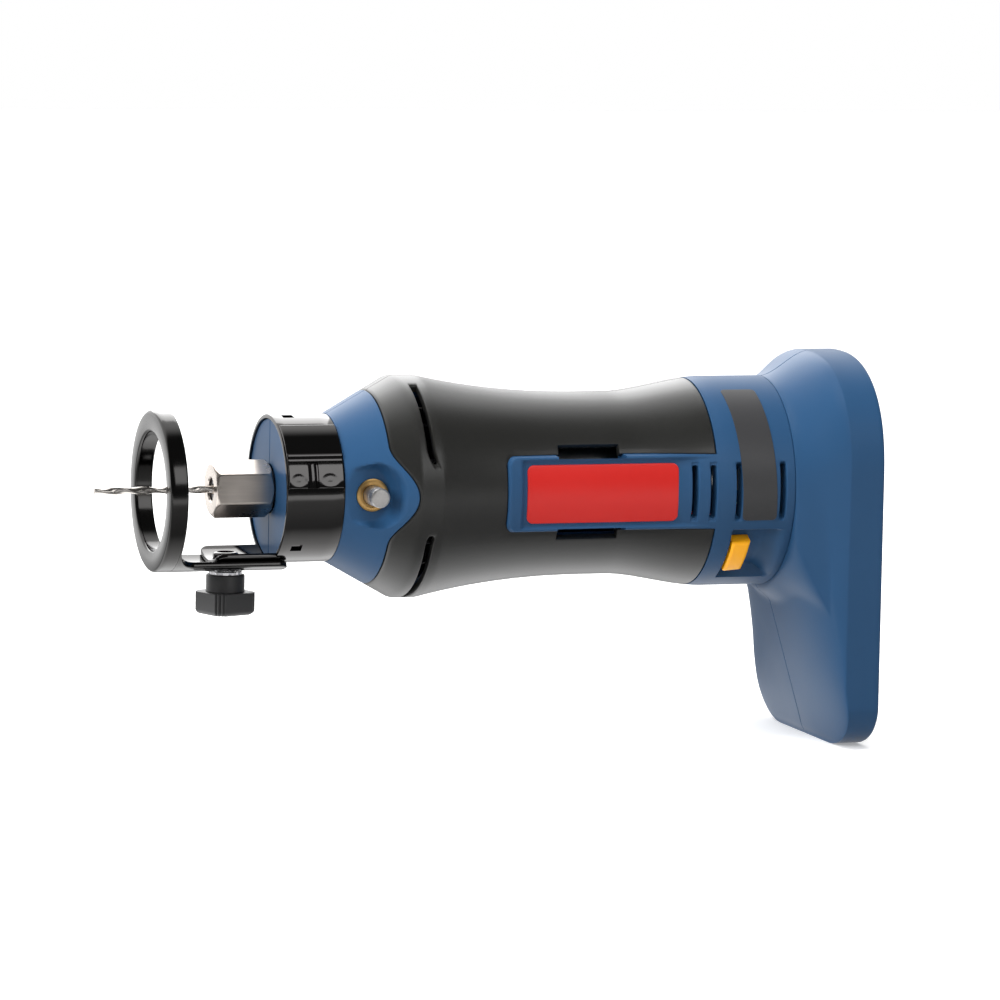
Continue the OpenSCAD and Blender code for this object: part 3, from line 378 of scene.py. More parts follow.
def waved(u, z):
    """Station u carried along with the wave: all the way at the edge, not at all at the shoulder or
    far behind the edge."""
    front = np.clip((u - X_CONE) / (X_EDGE - X_CONE), 0, 1)
    rear = np.clip(1 - (u - X_EDGE) / WAVE_END, 0, 1)
    return u + wave(z) * np.where(u < X_EDGE, front, ease(rear))


FLAT_HALF = 14.0
FLAT_R = 29.0


def column_angles(heights, radius):
    """Angle above the side for columns given by their height at radius 29: columns within 14 mm keep their
    height at any radius, and the rest close up evenly to the top and bottom."""
    nominal = np.arcsin(np.clip(heights / FLAT_R, -1, 1))
    flat = np.arcsin(np.clip(heights, -FLAT_HALF, FLAT_HALF) / radius)
    fixed = np.arcsin(FLAT_HALF / FLAT_R)
    over = (np.abs(nominal) - fixed) / (np.pi / 2 - fixed)
    beyond = np.arcsin(FLAT_HALF / radius) * (1 - over) + np.pi / 2 * over
    return np.where(np.abs(heights) <= FLAT_HALF, flat, np.sign(nominal) * beyond)


def heights_at(*runs):
    """Column heights at radius 29 from runs of (start, stop, step) in degrees above the side."""
    return FLAT_R * np.sin(np.radians(stations(*runs)))


PANEL_Y = 29.8
PANEL_CROWN = 45.0
PANEL_X = 65.0
PANEL_HALF = 11.3
PANEL_CORNER = 3.0
PANEL_DRAFT = 4.0
PLATE_X = span("name_plate")[0][0]
RAIL_RISE = 0.45
RAIL_SLOPE = 1.4
RECESS_DROP = 0.6
RECESS_HALF = 9.7
RECESS_AHEAD = 1.2
SLOT_X = [X_GRIP_END - 6.75, X_GRIP_END - 1.25, X_SEAM - 17.85, X_SEAM - 3.85]
SLOT_HALF = 0.95
SLOT_TOP = 8.7
SLOT_FADE = 2.2
SLOTTED_FROM = 42
SLOTTED_OVER = 16
POCKET_FLOOR = 22.0
POCKET_X = 8.3
POCKET_Z = 12.2
POCKET_FLAT = 0.59
POCKET_WALL = 13.0
EXHAUST_X = 40.5
EXHAUST_HALF = 1.05
EXHAUST_ENDS = (9.9, -11.6)
EXHAUST_DEGREES = (70, -82)
EXHAUST_PER_MM = 1.7
WINDOW = (81.9, 100.9)
WINDOW_TOP = PANEL_HALF + 2.7
WINDOW_MORE = 1.2
SWITCH_DOWN = math.radians(41)
SWITCH_HALF = 10.4
SWITCH_X = X_FULL + 0.2
SWITCH_FLOOR = REAR_R - 4.2
SWITCH_RUN = 11.0
SWITCH_RAMP = 6.0
BODY_WALL = 2.4
NOSE_BORE = 18.4
EDGE_SOFT = 0.35


def panel_face(x, z):
    """Distance of the label panel from the middle plane: crowned, with a raised rail around the plate."""
    face = PANEL_Y - z ** 2 / (2 * PANEL_CROWN)
    inside = np.minimum(x - PLATE_X + RECESS_AHEAD, RECESS_HALF - np.abs(z))
    rail = (RAIL_RISE + RECESS_DROP) * (1 - ease((inside + 0.9) / RAIL_SLOPE))
    before = np.clip(PANEL_CORNER - (x - PANEL_X), 0, None)
    beside = np.clip(np.abs(z) - PANEL_HALF + PANEL_CORNER, 0, None)
    edge = PANEL_CORNER - np.hypot(before, beside)
    return face - RECESS_DROP + rail - lip(edge, 0.9) - PANEL_DRAFT * np.clip(-edge, 0, 0.7)


def lock_pocket(x, z):
    """Dish round the lock pin: a flat floor, open over the cone in front, and an oval wall behind."""
    q = np.hypot(np.clip(x - LOCK_X, 0, None) / POCKET_X, z / POCKET_Z)
    return POCKET_FLOOR + POCKET_WALL * np.clip((q - POCKET_FLAT) / (1 - POCKET_FLAT), 0, None) ** 2


def switch_dip(x, angle):
    """Depth of the switch recess: steep on three sides, a long ramp towards the battery."""
    across = (angle + SWITCH_DOWN) * REAR_R
    sides = ease((SWITCH_HALF + 0.5 - np.abs(across)) / 1.1)
    front = ease((x - SWITCH_X + 0.4) / 0.9)
    ramp = 1 - ease((x - SWITCH_X - SWITCH_RUN) / SWITCH_RAMP)
    return (REAR_R - SWITCH_FLOOR) * sides * front * ramp


def in_exhaust(angle, more):
    """True along the exhaust slots, from near the lobe to the top and bottom, and some millimetres more."""
    z, degrees = BULGE_R * np.sin(angle), np.degrees(angle)
    upper = (z > EXHAUST_ENDS[0] - more) & (degrees < EXHAUST_DEGREES[0] + EXHAUST_PER_MM * more)
    lower = (z < EXHAUST_ENDS[1] + more) & (degrees > EXHAUST_DEGREES[1] - EXHAUST_PER_MM * more)
    return upper | lower


def body_half(side):
    """One body half on side -1 (near) or 1 (far): rows run along the tool, columns from top to bottom."""
    near = side < 0
    nose = stations((7.4, 20.2, 1.6), (20.2, 20.8, 0.15))
    slots = [(x - SLOT_HALF - 0.6, x + SLOT_HALF + 0.6, 0.155) for x in SLOT_X]
    u = stations((0.6, 16.9, 2.0), (17.0, 39, 0.5), (X_EDGE - 0.6, X_EDGE - 0.02, 0.15), (39, 64, 2.5),
                 (EXHAUST_X - 2.6, EXHAUST_X + 2.6, 0.52), (64, 72, 0.4), (72, 118, 2.3),
                 (WINDOW[0] - WINDOW_MORE, WINDOW[0], 1.2), (WINDOW[1], WINDOW[1] + WINDOW_MORE, 1.2),
                 (118, X_GRIP_END - 0.02, 0.5), (X_GRIP_END + 0.02, X_SEAM - 0.4, 0.5), *slots,
                 (X_SEAM - 0.4, X_SEAM, 0.1))
    u = np.unique(np.concatenate([u, [X_CONE - 0.02, X_EDGE + 0.02, PANEL_X - 0.02, PANEL_X + 0.02]]))
    u = u[np.concatenate([[True], np.diff(u) > 0.012])]
    rows_x = np.concatenate([0 * nose, [0.12, 0.35], u])[:, None]
    rim = np.concatenate([np.minimum(nose, 20.4), [20.62, 20.78], body_radius(u)])[:, None]
    upper = heights_at((29.5, 86, 3.0), (86, 89.9, 0.35))
    lower = -heights_at((29.5, 66, 1.0), (66, 86, 3.0), (86, 89.9, 0.35))[::-1]
    flat_run = stations((-FLAT_HALF, -12, 0.5), (-11.9, -11.32, 0.19), (-11.28, -SLOT_TOP, 0.3),
                        (-SLOT_TOP, -7.0, 1.7), (-7.0, 0, 0.7))
    slotted = np.concatenate([lower, flat_run, -flat_run[-2::-1], upper])[::-1]
    even = np.concatenate([lower, np.linspace(-FLAT_HALF, FLAT_HALF, 2 * len(flat_run) - 1), upper])[::-1]
    mix = ease((rows_x - SLOTTED_FROM) / SLOTTED_OVER)
    radius = body_radius(rows_x)
    angle = column_angles(even, radius) * (1 - mix) + column_angles(slotted, radius) * mix
    z = radius * np.sin(angle)
    x = waved(rows_x, z)
    r = np.where(rows_x > 0.5, body_radius(x), rim)
    covered = (rows_x > X_EDGE) & (rows_x < X_GRIP_END)
    r = r - np.where(covered, SKIN, 0.0)
    x = x + np.where(rows_x < 0.1, lip(np.abs(r * np.cos(angle)), 0.4), 0.0)
    r = r - lip(np.abs(r * np.cos(angle)), 0.3) - lip(X_SEAM - rows_x, EDGE_SOFT)
    r = r - np.where(rows_x < X_EDGE, lip(X_EDGE - rows_x, EDGE_SOFT), 0.0)
    if near:
        r = r - np.where(rows_x > X_FULL - 2, switch_dip(x, angle), 0.0)
    y = r * np.cos(angle)
    z = r * np.sin(angle)
    on_panel = (rows_x > PANEL_X) & (rows_x < X_GRIP_END + 6) & (np.abs(z) < PANEL_HALF + 0.01)
    barrel = np.sqrt(np.maximum(body_radius(rows_x) ** 2 - z ** 2, 1.0))
    barrel = barrel - np.where(rows_x < X_GRIP_END - 14, 3.0, 0.0)
    y = np.where(on_panel, soft_max(panel_face(x, z), barrel, 0.8), y)
    if near:
        dish = soft_min(y, lock_pocket(x, z), 0.4)
        y = np.where((rows_x > 12) & (rows_x < X_EDGE) & (np.abs(z) < 15), dish, y)
    for slot_x in SLOT_X:
        off = np.abs(rows_x - slot_x)
        round_end = SLOT_HALF - np.sqrt(np.maximum(SLOT_HALF ** 2 - off ** 2, 0))
        shift = np.where(off <= SLOT_HALF, round_end, SLOT_HALF * np.clip(1 - (off - SLOT_HALF), 0, 1))
        at_end = np.abs(np.abs(slotted) - SLOT_TOP) < 0.05
        z = np.where(at_end & (off < SLOT_FADE), z - np.sign(z) * shift, z)
        gap = np.maximum(off - SLOT_HALF, np.abs(z) - SLOT_TOP)
        y = y - np.where(np.abs(z) < 12, lip(gap, EDGE_SOFT), 0.0)
    inner_r = np.where(rows_x < 38, NOSE_BORE, body_radius(rows_x) - SKIN - BODY_WALL)
    inner_x = np.maximum(rows_x, BODY_WALL)
    inner_r = np.where(rows_x < 0.5, np.minimum(rim, NOSE_BORE), inner_r)
    inner_y = np.maximum(inner_r * np.cos(angle), 0)
    middle_x = (rows_x[1:] + rows_x[:-1]) / 2
    middle_h = (slotted[1:] + slotted[:-1]) / 2
    at_slot = np.any([np.abs(middle_x - slot_x) < SLOT_HALF for slot_x in SLOT_X], axis=0)
    gone = at_slot & (np.abs(middle_h) < SLOT_TOP)
    beside = (np.abs(middle_h) > PANEL_HALF + 0.03) & (np.abs(middle_h) < WINDOW_TOP + WINDOW_MORE)
    gone |= (middle_x > WINDOW[0] - WINDOW_MORE) & (middle_x < WINDOW[1] + WINDOW_MORE) & beside
    middle_angle = (angle[1:, 1:] + angle[:-1, :-1]) / 2
    gone |= (np.abs(middle_x - EXHAUST_X) < 2.5) & in_exhaust(middle_angle, 1.5)
    outer = seat(x, side * y, z)
    inner = seat(inner_x + 0 * angle, side * inner_y, inner_r * np.sin(angle))
    return slab(outer, inner, ~gone)


blue_nylon = moulded("blue_nylon", (0.0175, 0.060, 0.136), 0.42, grain=2400.0, bump=0.16, vary=0.05,
                     specular=0.22)
for side, name, node in ((-1, "body_half_near", "body_shell_left"), (1, "body_half_far", "body_shell_right")):
    half = shape(name, [body_half(side)], blue_nylon, sharp=50)
    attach(half, "housing")
    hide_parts(node)

# Rubber grip: charcoal thermoplastic rubber, moulded over each body half round the lobe and the panel.
# Exhaust slots follow the swelling, and a window lies along each long edge of the panel.
GRIP_T = 2.2


def grip_half(side):
    """One rubber half: the skin of the body between the waved edge and the barrel. The columns along
    the panel are drawn in at its front corners, and those at the ends of the exhaust slots are bent round."""
    start, stop = X_EDGE + 0.2, X_GRIP_END - 0.1
    slot_front, slot_back = EXHAUST_X - EXHAUST_HALF, EXHAUST_X + EXHAUST_HALF
    u = stations((start, start + 1, 0.2), (start + 1, EXHAUST_X - 2, 1.0),
                 (slot_front - 0.6, slot_front, 0.15), (slot_front, slot_back, 0.21),
                 (slot_back, slot_back + 0.6, 0.15), (EXHAUST_X + 2.2, 63, 1.2), (63, PANEL_X - 0.1, 0.3),
                 (PANEL_X - 0.1, PANEL_X + 3.2, 0.22), (69, WINDOW[0] - 0.6, 1.5),
                 *[(end - 0.6, end + 0.6, 0.2) for end in WINDOW], (83, 99.5, 1.7), (102, 129, 1.5),
                 (stop - 0.8, stop, 0.16))
    u = u[np.concatenate([[True], np.diff(u) > 0.05])]
    rows = u[:, None]
    upper = heights_at((30.5, 68, 2.2), (68, 72, 0.5), (72, 86, 2.5), (86, 89.9, 0.35))
    lower = -heights_at((30.5, 80, 2.2), (80, 84, 0.5), (84, 86, 1.0), (86, 89.9, 0.35))[::-1]
    beside = [-14.6, -14.2, -14.0, -13.6, -13.0, -11.6, -11.45, -11.3]
    flat_run = np.concatenate([beside, np.linspace(-9.9, 0, 12)])
    columns = np.concatenate([lower, flat_run, -flat_run[-2::-1], upper])[::-1]
    radius = body_radius(rows)
    nominal = column_angles(columns, radius)
    z = radius * np.sin(nominal)
    into = np.clip(PANEL_X + PANEL_CORNER - rows, 0, PANEL_CORNER)
    inset = (PANEL_CORNER - np.sqrt(PANEL_CORNER ** 2 - into ** 2)) * ease((rows - PANEL_X + 2) / 1.9)
    drawn = np.where(np.abs(columns) <= PANEL_HALF, 1 - inset / PANEL_HALF,
                     1 - inset * np.clip(14 - np.abs(z), 0, None) / 2.7 / np.maximum(np.abs(z), 1))
    z = z * drawn
    off = np.abs(rows - EXHAUST_X)
    bend = EXHAUST_HALF - np.sqrt(np.maximum(EXHAUST_HALF ** 2 - np.minimum(off, EXHAUST_HALF) ** 2, 0))
    bend = bend * np.clip(1 - (off - EXHAUST_HALF), 0, 1)
    upper_end, lower_end = [np.where(np.abs(columns - end) < 0.01, bend, 0) for end in EXHAUST_ENDS]
    z = z + upper_end - lower_end
    angle = np.arcsin(np.clip(z / radius, -1, 1))
    x = waved(rows, z)
    r = body_radius(x)
    degrees = np.degrees(angle)
    for end, limit in zip(EXHAUST_ENDS, EXHAUST_DEGREES):
        sign = np.sign(end)
        along = np.maximum(sign * (end - z), sign * (degrees - limit) * np.radians(1) * BULGE_R)
        r = r - lip(np.maximum(off - EXHAUST_HALF, along), 0.5)
    r = r - lip(np.abs(r * np.cos(angle)), 0.3)
    r = r - lip(np.minimum((rows - start) * 0.6, stop - rows), 0.6)
    to_panel = np.maximum(PANEL_X - 0.1 - rows, np.abs(columns) - PANEL_HALF)
    to_window = np.maximum(np.maximum(WINDOW[0] - rows, rows - WINDOW[1]), np.abs(columns) - WINDOW_TOP)
    r = r - lip(np.minimum(to_panel, to_window), 0.35)
    middle_u = (rows[1:] + rows[:-1]) / 2
    middle_c = (columns[1:] + columns[:-1]) / 2
    gone = (middle_u > PANEL_X - 0.1) & (np.abs(middle_c) < PANEL_HALF)
    gone |= (middle_u > WINDOW[0]) & (middle_u < WINDOW[1]) & (np.abs(middle_c) < WINDOW_TOP)
    middle_angle = (nominal[1:, 1:] + nominal[:-1, :-1]) / 2
    gone |= (np.abs(middle_u - EXHAUST_X) < EXHAUST_HALF) & in_exhaust(middle_angle, 0.0)
    inner_r = body_radius(x) - GRIP_T
    outer = seat(x, side * r * np.cos(angle), r * np.sin(angle))
    inner = seat(x, side * inner_r * np.cos(angle), inner_r * np.sin(angle))
    return slab(outer, inner, ~gone)


charcoal_rubber = moulded("charcoal_rubber", (0.012, 0.012, 0.011), 0.36, grain=3200.0, bump=0.35, vary=0.06,
                          specular=0.75)
for side, name, node in ((-1, "grip_near", "grip_left"), (1, "grip_far", "grip_right")):
    half = shape(name, [grip_half(side)], charcoal_rubber)
    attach(half, "housing")
    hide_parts(node)

# Battery housing halves: the same blue nylon, flaring from the round barrel to the battery's rim.
# The foot hangs below the barrel, and the halves meet on the middle plane like the body.
X_RIM = span("battery_housing_left")[1][0]
BAND = 11.0
X_BAND = X_RIM - BAND
RIM_HALF = span("battery_housing_right")[1][1]
RIM_TOP = span("battery_housing_left")[1][2]
RIM_LOW = span("battery_housing_left")[0][2]
ARCH_Z = 4.0
ARCH_POWER = 2.4
FOOT_CORNER_Y = 19.0
FOOT_CORNER_Z = 13.0
FOOT_BACK = 3.2
FOOT_LEAN = 13.8
FOOT_SHIFT = 2.2
FOOT_EDGE = 2.5
HOUSING_WALL = 2.6


def rim_path(inset, count):
    """Half of the rim outline from top to bottom at even steps: a superellipse above the arch line, a
    straight side and an oval corner below it. Also gives the angle of its outward normal from the top."""
    b = np.linspace(0, np.pi / 2, 2000)
    arch_y = (RIM_HALF - inset) * np.sin(b) ** (2 / ARCH_POWER)
    arch_z = ARCH_Z + (RIM_TOP - ARCH_Z - inset) * np.cos(b) ** (2 / ARCH_POWER)
    corner_y = RIM_HALF - FOOT_CORNER_Y + (FOOT_CORNER_Y - inset) * np.cos(b)
    corner_z = RIM_LOW + FOOT_CORNER_Z - (FOOT_CORNER_Z - inset) * np.sin(b)
    y = np.concatenate([arch_y, corner_y, [0.0]])
    z = np.concatenate([arch_z, corner_z, [RIM_LOW + inset]])
    length = np.concatenate([[0], np.cumsum(np.hypot(np.diff(y), np.diff(z)))])
    by_seam = 0.004 * np.linspace(0, 1, 5)[1:-1]
    share = np.unique(np.concatenate([np.linspace(0, 1, count), by_seam, 1 - by_seam]))
    even_y = np.interp(share * length[-1], length, y)
    even_z = np.interp(share * length[-1], length, z)
    normal = np.unwrap(np.arctan2(-np.gradient(even_z), np.gradient(even_y)))
    return even_y, even_z, np.clip(normal, 0, np.pi), share


def crease(z):
    """Station where the band begins, a little further back at the bottom of the foot."""
    return X_BAND + FOOT_SHIFT * ease((-56 - z) / 22)


def foot_front(y, z, inset):
    """Station of the foot's front: a line that leans back, bent round to the band at the sides."""
    down = np.clip((-REAR_R - z) / (-REAR_R - RIM_LOW), 0, 1)
    line = X_SEAM + FOOT_BACK + FOOT_LEAN * down + lip(z - RIM_LOW - inset, FOOT_EDGE) + inset
    low = np.clip((RIM_LOW + FOOT_CORNER_Z - z) / (FOOT_CORNER_Z - inset), 0, 1)
    half = RIM_HALF - FOOT_CORNER_Y + (FOOT_CORNER_Y - inset) * np.sqrt(1 - low ** 2)
    u = np.clip(np.abs(y) / half, 0, 1)
    return crease(z) - np.clip(crease(z) - line, 0, None) * (1 - u ** 2.4) ** 0.65


def housing_skin(inset, count):
    """Points of the flare and the band: fibres run from the barrel circle to the rim, S-shaped above and over
    the bowed front of the foot, then straight back along the band."""
    rim_y, rim_z, normal, share = rim_path(inset, count)
    ring = 0.55 * normal + 0.45 * np.pi * share
    ring[0], ring[-1] = 0.0, np.pi
    circle_y = (REAR_R - inset) * np.sin(ring)
    circle_z = (REAR_R - inset) * np.cos(ring)
    foot = ease((ring - 1.3) / 0.6)
    slant = ease((ring - 0.8) / 0.8)
    t = np.concatenate([[0, 0.008, 0.02, 0.035], np.linspace(0.05, 0.94, 38),
                        [0.96, 0.975, 0.987, 0.995, 1]])[:, None]
    blend = (0.25 * t + 0.75 * ease(t)) * (1 - slant) + t * slant
    y_flare = circle_y + (rim_y - circle_y) * blend
    z_flare = circle_z + (rim_z - circle_z) * blend
    x_upper = X_SEAM + (crease(rim_z) - X_SEAM) * t
    reach = 0.12 + 0.45 * ease(2.7 - ring)
    x_front = X_SEAM + (foot_front(y_flare, z_flare, inset) - X_SEAM) * ease(t / reach)
    back = np.array([0.6, 2, 4, 6, 8, 9.4, 10.2, 10.5, 10.75, 10.92, BAND])[:, None]
    x_band = X_RIM - (X_RIM - crease(rim_z)) * (1 - back / BAND)
    x = np.concatenate([x_upper * (1 - foot) + x_front * foot, x_band])
    y = np.concatenate([y_flare, rim_y + 0 * back])
    z = np.concatenate([z_flare, rim_z + 0 * back])
    return x, y, z


def housing_half(side):
    """One battery housing half with rounded edges at the seam, the parting plane and the rim."""
    x, y, z = housing_skin(0.0, 150)
    inner_x, inner_y, inner_z = housing_skin(HOUSING_WALL, 150)
    drop = lip(x - X_SEAM, 0.3) + lip(X_RIM - x, 0.9)
    centre_z = np.where(z > 0, 0.0, z * 0.6)
    reach = np.hypot(y, z - centre_z)
    y = y * (1 - drop / reach)
    z = centre_z + (z - centre_z) * (1 - drop / reach)
    groove = lip(np.abs(y), 0.35)
    on_front = ease((-REAR_R - 1 - z) / 2) * (x < X_BAND + 1)
    x = x + groove * on_front
    z = z - np.sign(z) * groove * (1 - on_front)
    return slab(seat(x, side * y, z), seat(np.minimum(inner_x, X_RIM - 0.05), side * inner_y, inner_z))


HOUSING_HALVES = ((-1, "battery_housing_near", "battery_housing_left"),
                  (1, "battery_housing_far", "battery_housing_right"))
for side, name, node in HOUSING_HALVES:
    half = shape(name, [housing_half(side)], blue_nylon)
    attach(half, "housing")
    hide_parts(node)

# Name plates: bare pressed plates with a red enamel face, set in the recess of each label panel.
# They are stuck down, and nothing is printed on them.
PLATE_CORNER = 2.0
PLATE_FACE = PANEL_Y - 0.25


def rounded_lines(low, high, corner):
    """Stations from low to high, set closer along a rounded corner at each end."""
    turn = corner * (1 - np.cos(np.linspace(0, np.pi / 2, 8)))
    straight = np.linspace(low + corner, high - corner, 26)[1:-1]
    return np.concatenate([low + turn, straight, high - turn[::-1]])


def rounded_half(x, low, high, half, corner):
    """Half-width at x of a rounded rectangle that reaches from low to high."""
    into = np.clip(corner - np.minimum(x - low, high - x), 0, corner)
    return half - corner + np.sqrt(corner ** 2 - into ** 2)


EDGED = np.concatenate([[-1, -0.985, -0.96], np.linspace(-0.92, 0.92, 15), [0.96, 0.985, 1]])


def plate(side, node):
    """Crowned plate with rounded corners and softened edges on one side of the tool."""
    low, high = span(node)
    x = rounded_lines(low[0], high[0], PLATE_CORNER)[:, None]
    half = rounded_half(x, low[0], high[0], (high[2] - low[2]) / 2, PLATE_CORNER)
    z = half * EDGED
    rim = np.minimum(half - np.abs(z), np.minimum(x - low[0], high[0] - x))
    crown = z ** 2 / (2 * PANEL_CROWN)
    y = PLATE_FACE - crown - lip(rim, 0.2)
    return slab(seat(x, side * y, z), seat(x, side * (PANEL_Y - RECESS_DROP - crown), z))


red_enamel = moulded("red_enamel", (0.50, 0.009, 0.006), 0.30, grain=900.0, bump=0.03, vary=0.04)
for side, node in ((-1, "name_plate"), (1, "far_plate")):
    red_plate = shape(node + "_red", [plate(side, node)], red_enamel)
    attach(red_plate, "housing")
    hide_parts(node)

# Label patch: a blank charcoal sticker wrapped on the rear barrel, a little askew as in the photo.
# It is thin plastic film.
LABEL_R = REAR_R + 0.17
LABEL_SKEW = 0.9
LABEL_CORNER = 1.4
LABEL_MORE = 0.3


def label():
    """Sticker along the barrel's arc: its rows run down the arc and its columns along the tool."""
    low, high = span("label_patch")
    arc = np.arccos(np.array([high[2], low[2]]) / LABEL_R) * LABEL_R
    s = rounded_lines(arc[0], arc[1], LABEL_CORNER)[:, None]
    half = rounded_half(s, arc[0], arc[1], (high[0] - low[0]) / 2 + LABEL_MORE, LABEL_CORNER)
    lean = LABEL_SKEW * (2 * (s - arc[0]) / (arc[1] - arc[0]) - 1)
    x = (low[0] + high[0]) / 2 + LABEL_MORE + lean + half * EDGED
    rim = np.minimum(half - np.abs(half * EDGED), np.minimum(s - arc[0], arc[1] - s))
    r = LABEL_R - lip(rim, 0.06)
    a = s / LABEL_R
    under = REAR_R + 0.02
    return slab(seat(x, -r * np.sin(a), r * np.cos(a)), seat(x, -under * np.sin(a), under * np.cos(a)))


charcoal_film = moulded("charcoal_film", (0.034, 0.034, 0.036), 0.42, grain=1500.0, bump=0.03, vary=0.05)
sticker = shape("blank_label", [label()], charcoal_film)
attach(sticker, "housing")
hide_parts("label_patch")

# Spindle lock: a steel pin in a flanged brass bush, held by a clip inside and pushed out by a coil spring.
# The bush is pressed into the floor of the pocket, and the pin's end is faced and bevelled.


def about_lock(out, r, turn):
    """Points at a distance out from the middle plane on the near side and a radius about the lock's axis."""
    return seat(LOCK_X + r * np.cos(turn), -out + 0 * turn, r * np.sin(turn))


def round_turn(count):
    """Even angles of one full turn without its last point."""
    return np.linspace(0, 2 * np.pi, count, endpoint=False)


pin_low, pin_high = span("lock_pin")
pin_tip = -pin_low[1]
pin_r = (pin_high[0] - pin_low[0]) / 2
pin_out = np.array([-pin_high[1], 14.0, 18.0, 27.4, 27.5, 28.1, 28.2, 29.0, 30.4, 30.7, 30.92, 31.0])
pin_out[-5:] += pin_tip - pin_out[-1]
pin_cut = np.array([0, 0, 0.3, 0.3, 0, 0, 0, 0.12, 0.4, 0.6])
PIN_NECK_R = 2.3
pin_radii = np.concatenate([[PIN_NECK_R, PIN_NECK_R], pin_r - pin_cut])
pin_grid = about_lock(pin_out[:, None], pin_radii[:, None], round_turn(64))
pin_steel = worked("pin_steel", (0.88, 0.86, 0.84), 0.45, along="Y", fine=2600.0, coarse=500.0, bump=0.12)
lock_pin = shape("lock_pin_steel", [capped(pin_grid)], pin_steel, sharp=30)
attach(lock_pin, "lock")
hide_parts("lock_pin")

bush_low, bush_high = span("lock_bush")
bush_face = -bush_low[1]
bush_r = (bush_high[0] - bush_low[0]) / 2
bush_out = np.array([-bush_high[1], 22.05, 22.1, bush_face - 0.25, bush_face - 0.07, bush_face])[:, None]
bush_outer = np.array([4.2, 4.2, bush_r, bush_r, bush_r - 0.08, bush_r - 0.25])[:, None]
bush_inner = np.array([pin_r + 0.06] * 4 + [pin_r + 0.1, pin_r + 0.25])[:, None]
bush_brass = worked("bush_brass", (0.70, 0.43, 0.16), 0.30, along="Y", fine=1800.0, coarse=400.0)
bush_wall = slab(about_lock(bush_out, bush_outer, round_turn(64)),
                 about_lock(bush_out, bush_inner, round_turn(64)), ring=True)
lock_bush = shape("lock_bush_brass", [bush_wall], bush_brass)
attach(lock_bush, "housing")
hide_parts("lock_bush")

spring_low, spring_high = span("lock_spring")
SPRING_R = 3.55
SPRING_WIRE = 0.25
SPRING_TURNS = 5


def spring():
    """Helix of round wire about the lock's axis: turn and distance out grow together along the wire."""
    along = np.linspace(0, 1, 181)[:, None]
    around = round_turn(12)
    low, high = -spring_high[1] + SPRING_WIRE, -spring_low[1] - SPRING_WIRE
    out = low + (high - low) * along + SPRING_WIRE * np.sin(around)
    turn = 2 * np.pi * SPRING_TURNS * along + 0 * around
    return capped(about_lock(out, SPRING_R + SPRING_WIRE * np.cos(around), turn))


lock_spring = shape("lock_spring_wire", [spring()], ground_steel)
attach(lock_spring, "housing")
tuple(seat(LOCK_X, spring_high[1], 0.0))
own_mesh(lock_spring)
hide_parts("lock_spring")

# Switch button: amber ABS, moulded as a curved cap that slides back in its recess.
# Its foot reaches through the floor into the switch case.
BUTTON_LENGTH = 12.6
BUTTON_WIDTH = 6.0
BUTTON_TOP = REAR_R + 0.5
BUTTON_X = span("switch_button")[0][0]


def button():
    """Pillow with rounded edges on the barrel's curve: rows along the tool, columns round it."""
    edge = np.array([0, 0.01, 0.04, 0.09, 0.15])
    end = np.array([0.5, 0.49, 0.47, 0.44, 0.41])
    x = BUTTON_X + BUTTON_WIDTH * np.concatenate([edge, np.linspace(0.2, 0.8, 7), 1 - edge[::-1]])[:, None]
    s = BUTTON_LENGTH * np.concatenate([-end, np.linspace(-0.37, 0.37, 15), end[::-1]])
    rim = np.minimum(np.minimum(x - BUTTON_X, BUTTON_X + BUTTON_WIDTH - x), BUTTON_LENGTH / 2 - np.abs(s))
    r = BUTTON_TOP - lip(rim, 0.9) - 0.5 * ((x - BUTTON_X) / BUTTON_WIDTH)
    a = -SWITCH_DOWN + s / REAR_R
    under = SWITCH_FLOOR + 0.25
    return slab(seat(x, -r * np.cos(a), r * np.sin(a)), seat(x, -under * np.cos(a), under * np.sin(a)))


amber_abs = moulded("amber_abs", (1.0, 0.43, 0.004), 0.26, grain=1200.0, bump=0.03, vary=0.03)
switch_cap = shape("switch_cap", [button()], amber_abs)
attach(switch_cap, "switch")
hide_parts("switch_button")

# Clamp collar: sheet steel, rolled round the neck, overlapped and hooked on the near side, and plated black.
# Its tongue reaches forward below the nut and carries the bolt of the depth guide.
COLLAR_IN = 20.85
COLLAR_OUT = SHOULDER_R
COLLAR_FRONT = -0.7
COLLAR_BACK = 16.9
LUG_X = (2.6, 5.9)
LUG_TURNS = (9.5, 137.0, 257.0)
LUG_HALF = 4.0
LAYER_GAP = 0.02


def about_axis(x, r, turn):
    """Points at radius r about the spindle, turned from the top towards the near side."""
    return seat(x, -r * np.sin(turn), r * np.cos(turn))


def collar_band():
    """Band with three square holes for the lugs of the body, its edges rounded."""
    x = np.array([COLLAR_FRONT, COLLAR_FRONT + 0.1, COLLAR_FRONT + 0.3, 1.5, *LUG_X, 9.0, 13.0,
                  COLLAR_BACK - 0.3, COLLAR_BACK - 0.1, COLLAR_BACK])[:, None]
    edges = np.array([[t - LUG_HALF, t + LUG_HALF] for t in LUG_TURNS]).ravel()
    turn = np.unique(np.concatenate([np.arange(0, 360, 3.0), edges]))
    r = COLLAR_OUT - lip(np.minimum(x - COLLAR_FRONT, COLLAR_BACK - x), 0.3) + 0 * turn
    middle = (turn + np.append(turn[1:], 360.0)) / 2
    at_lug = np.any([np.abs(middle - t) < LUG_HALF for t in LUG_TURNS], axis=0)
    row_middle = (x[1:] + x[:-1]) / 2
    gone = at_lug & (row_middle > LUG_X[0]) & (row_middle < LUG_X[1])
    angle = np.radians(turn)
    return slab(about_axis(x, r, angle), about_axis(x, COLLAR_IN + 0 * r, angle), ~gone, ring=True)


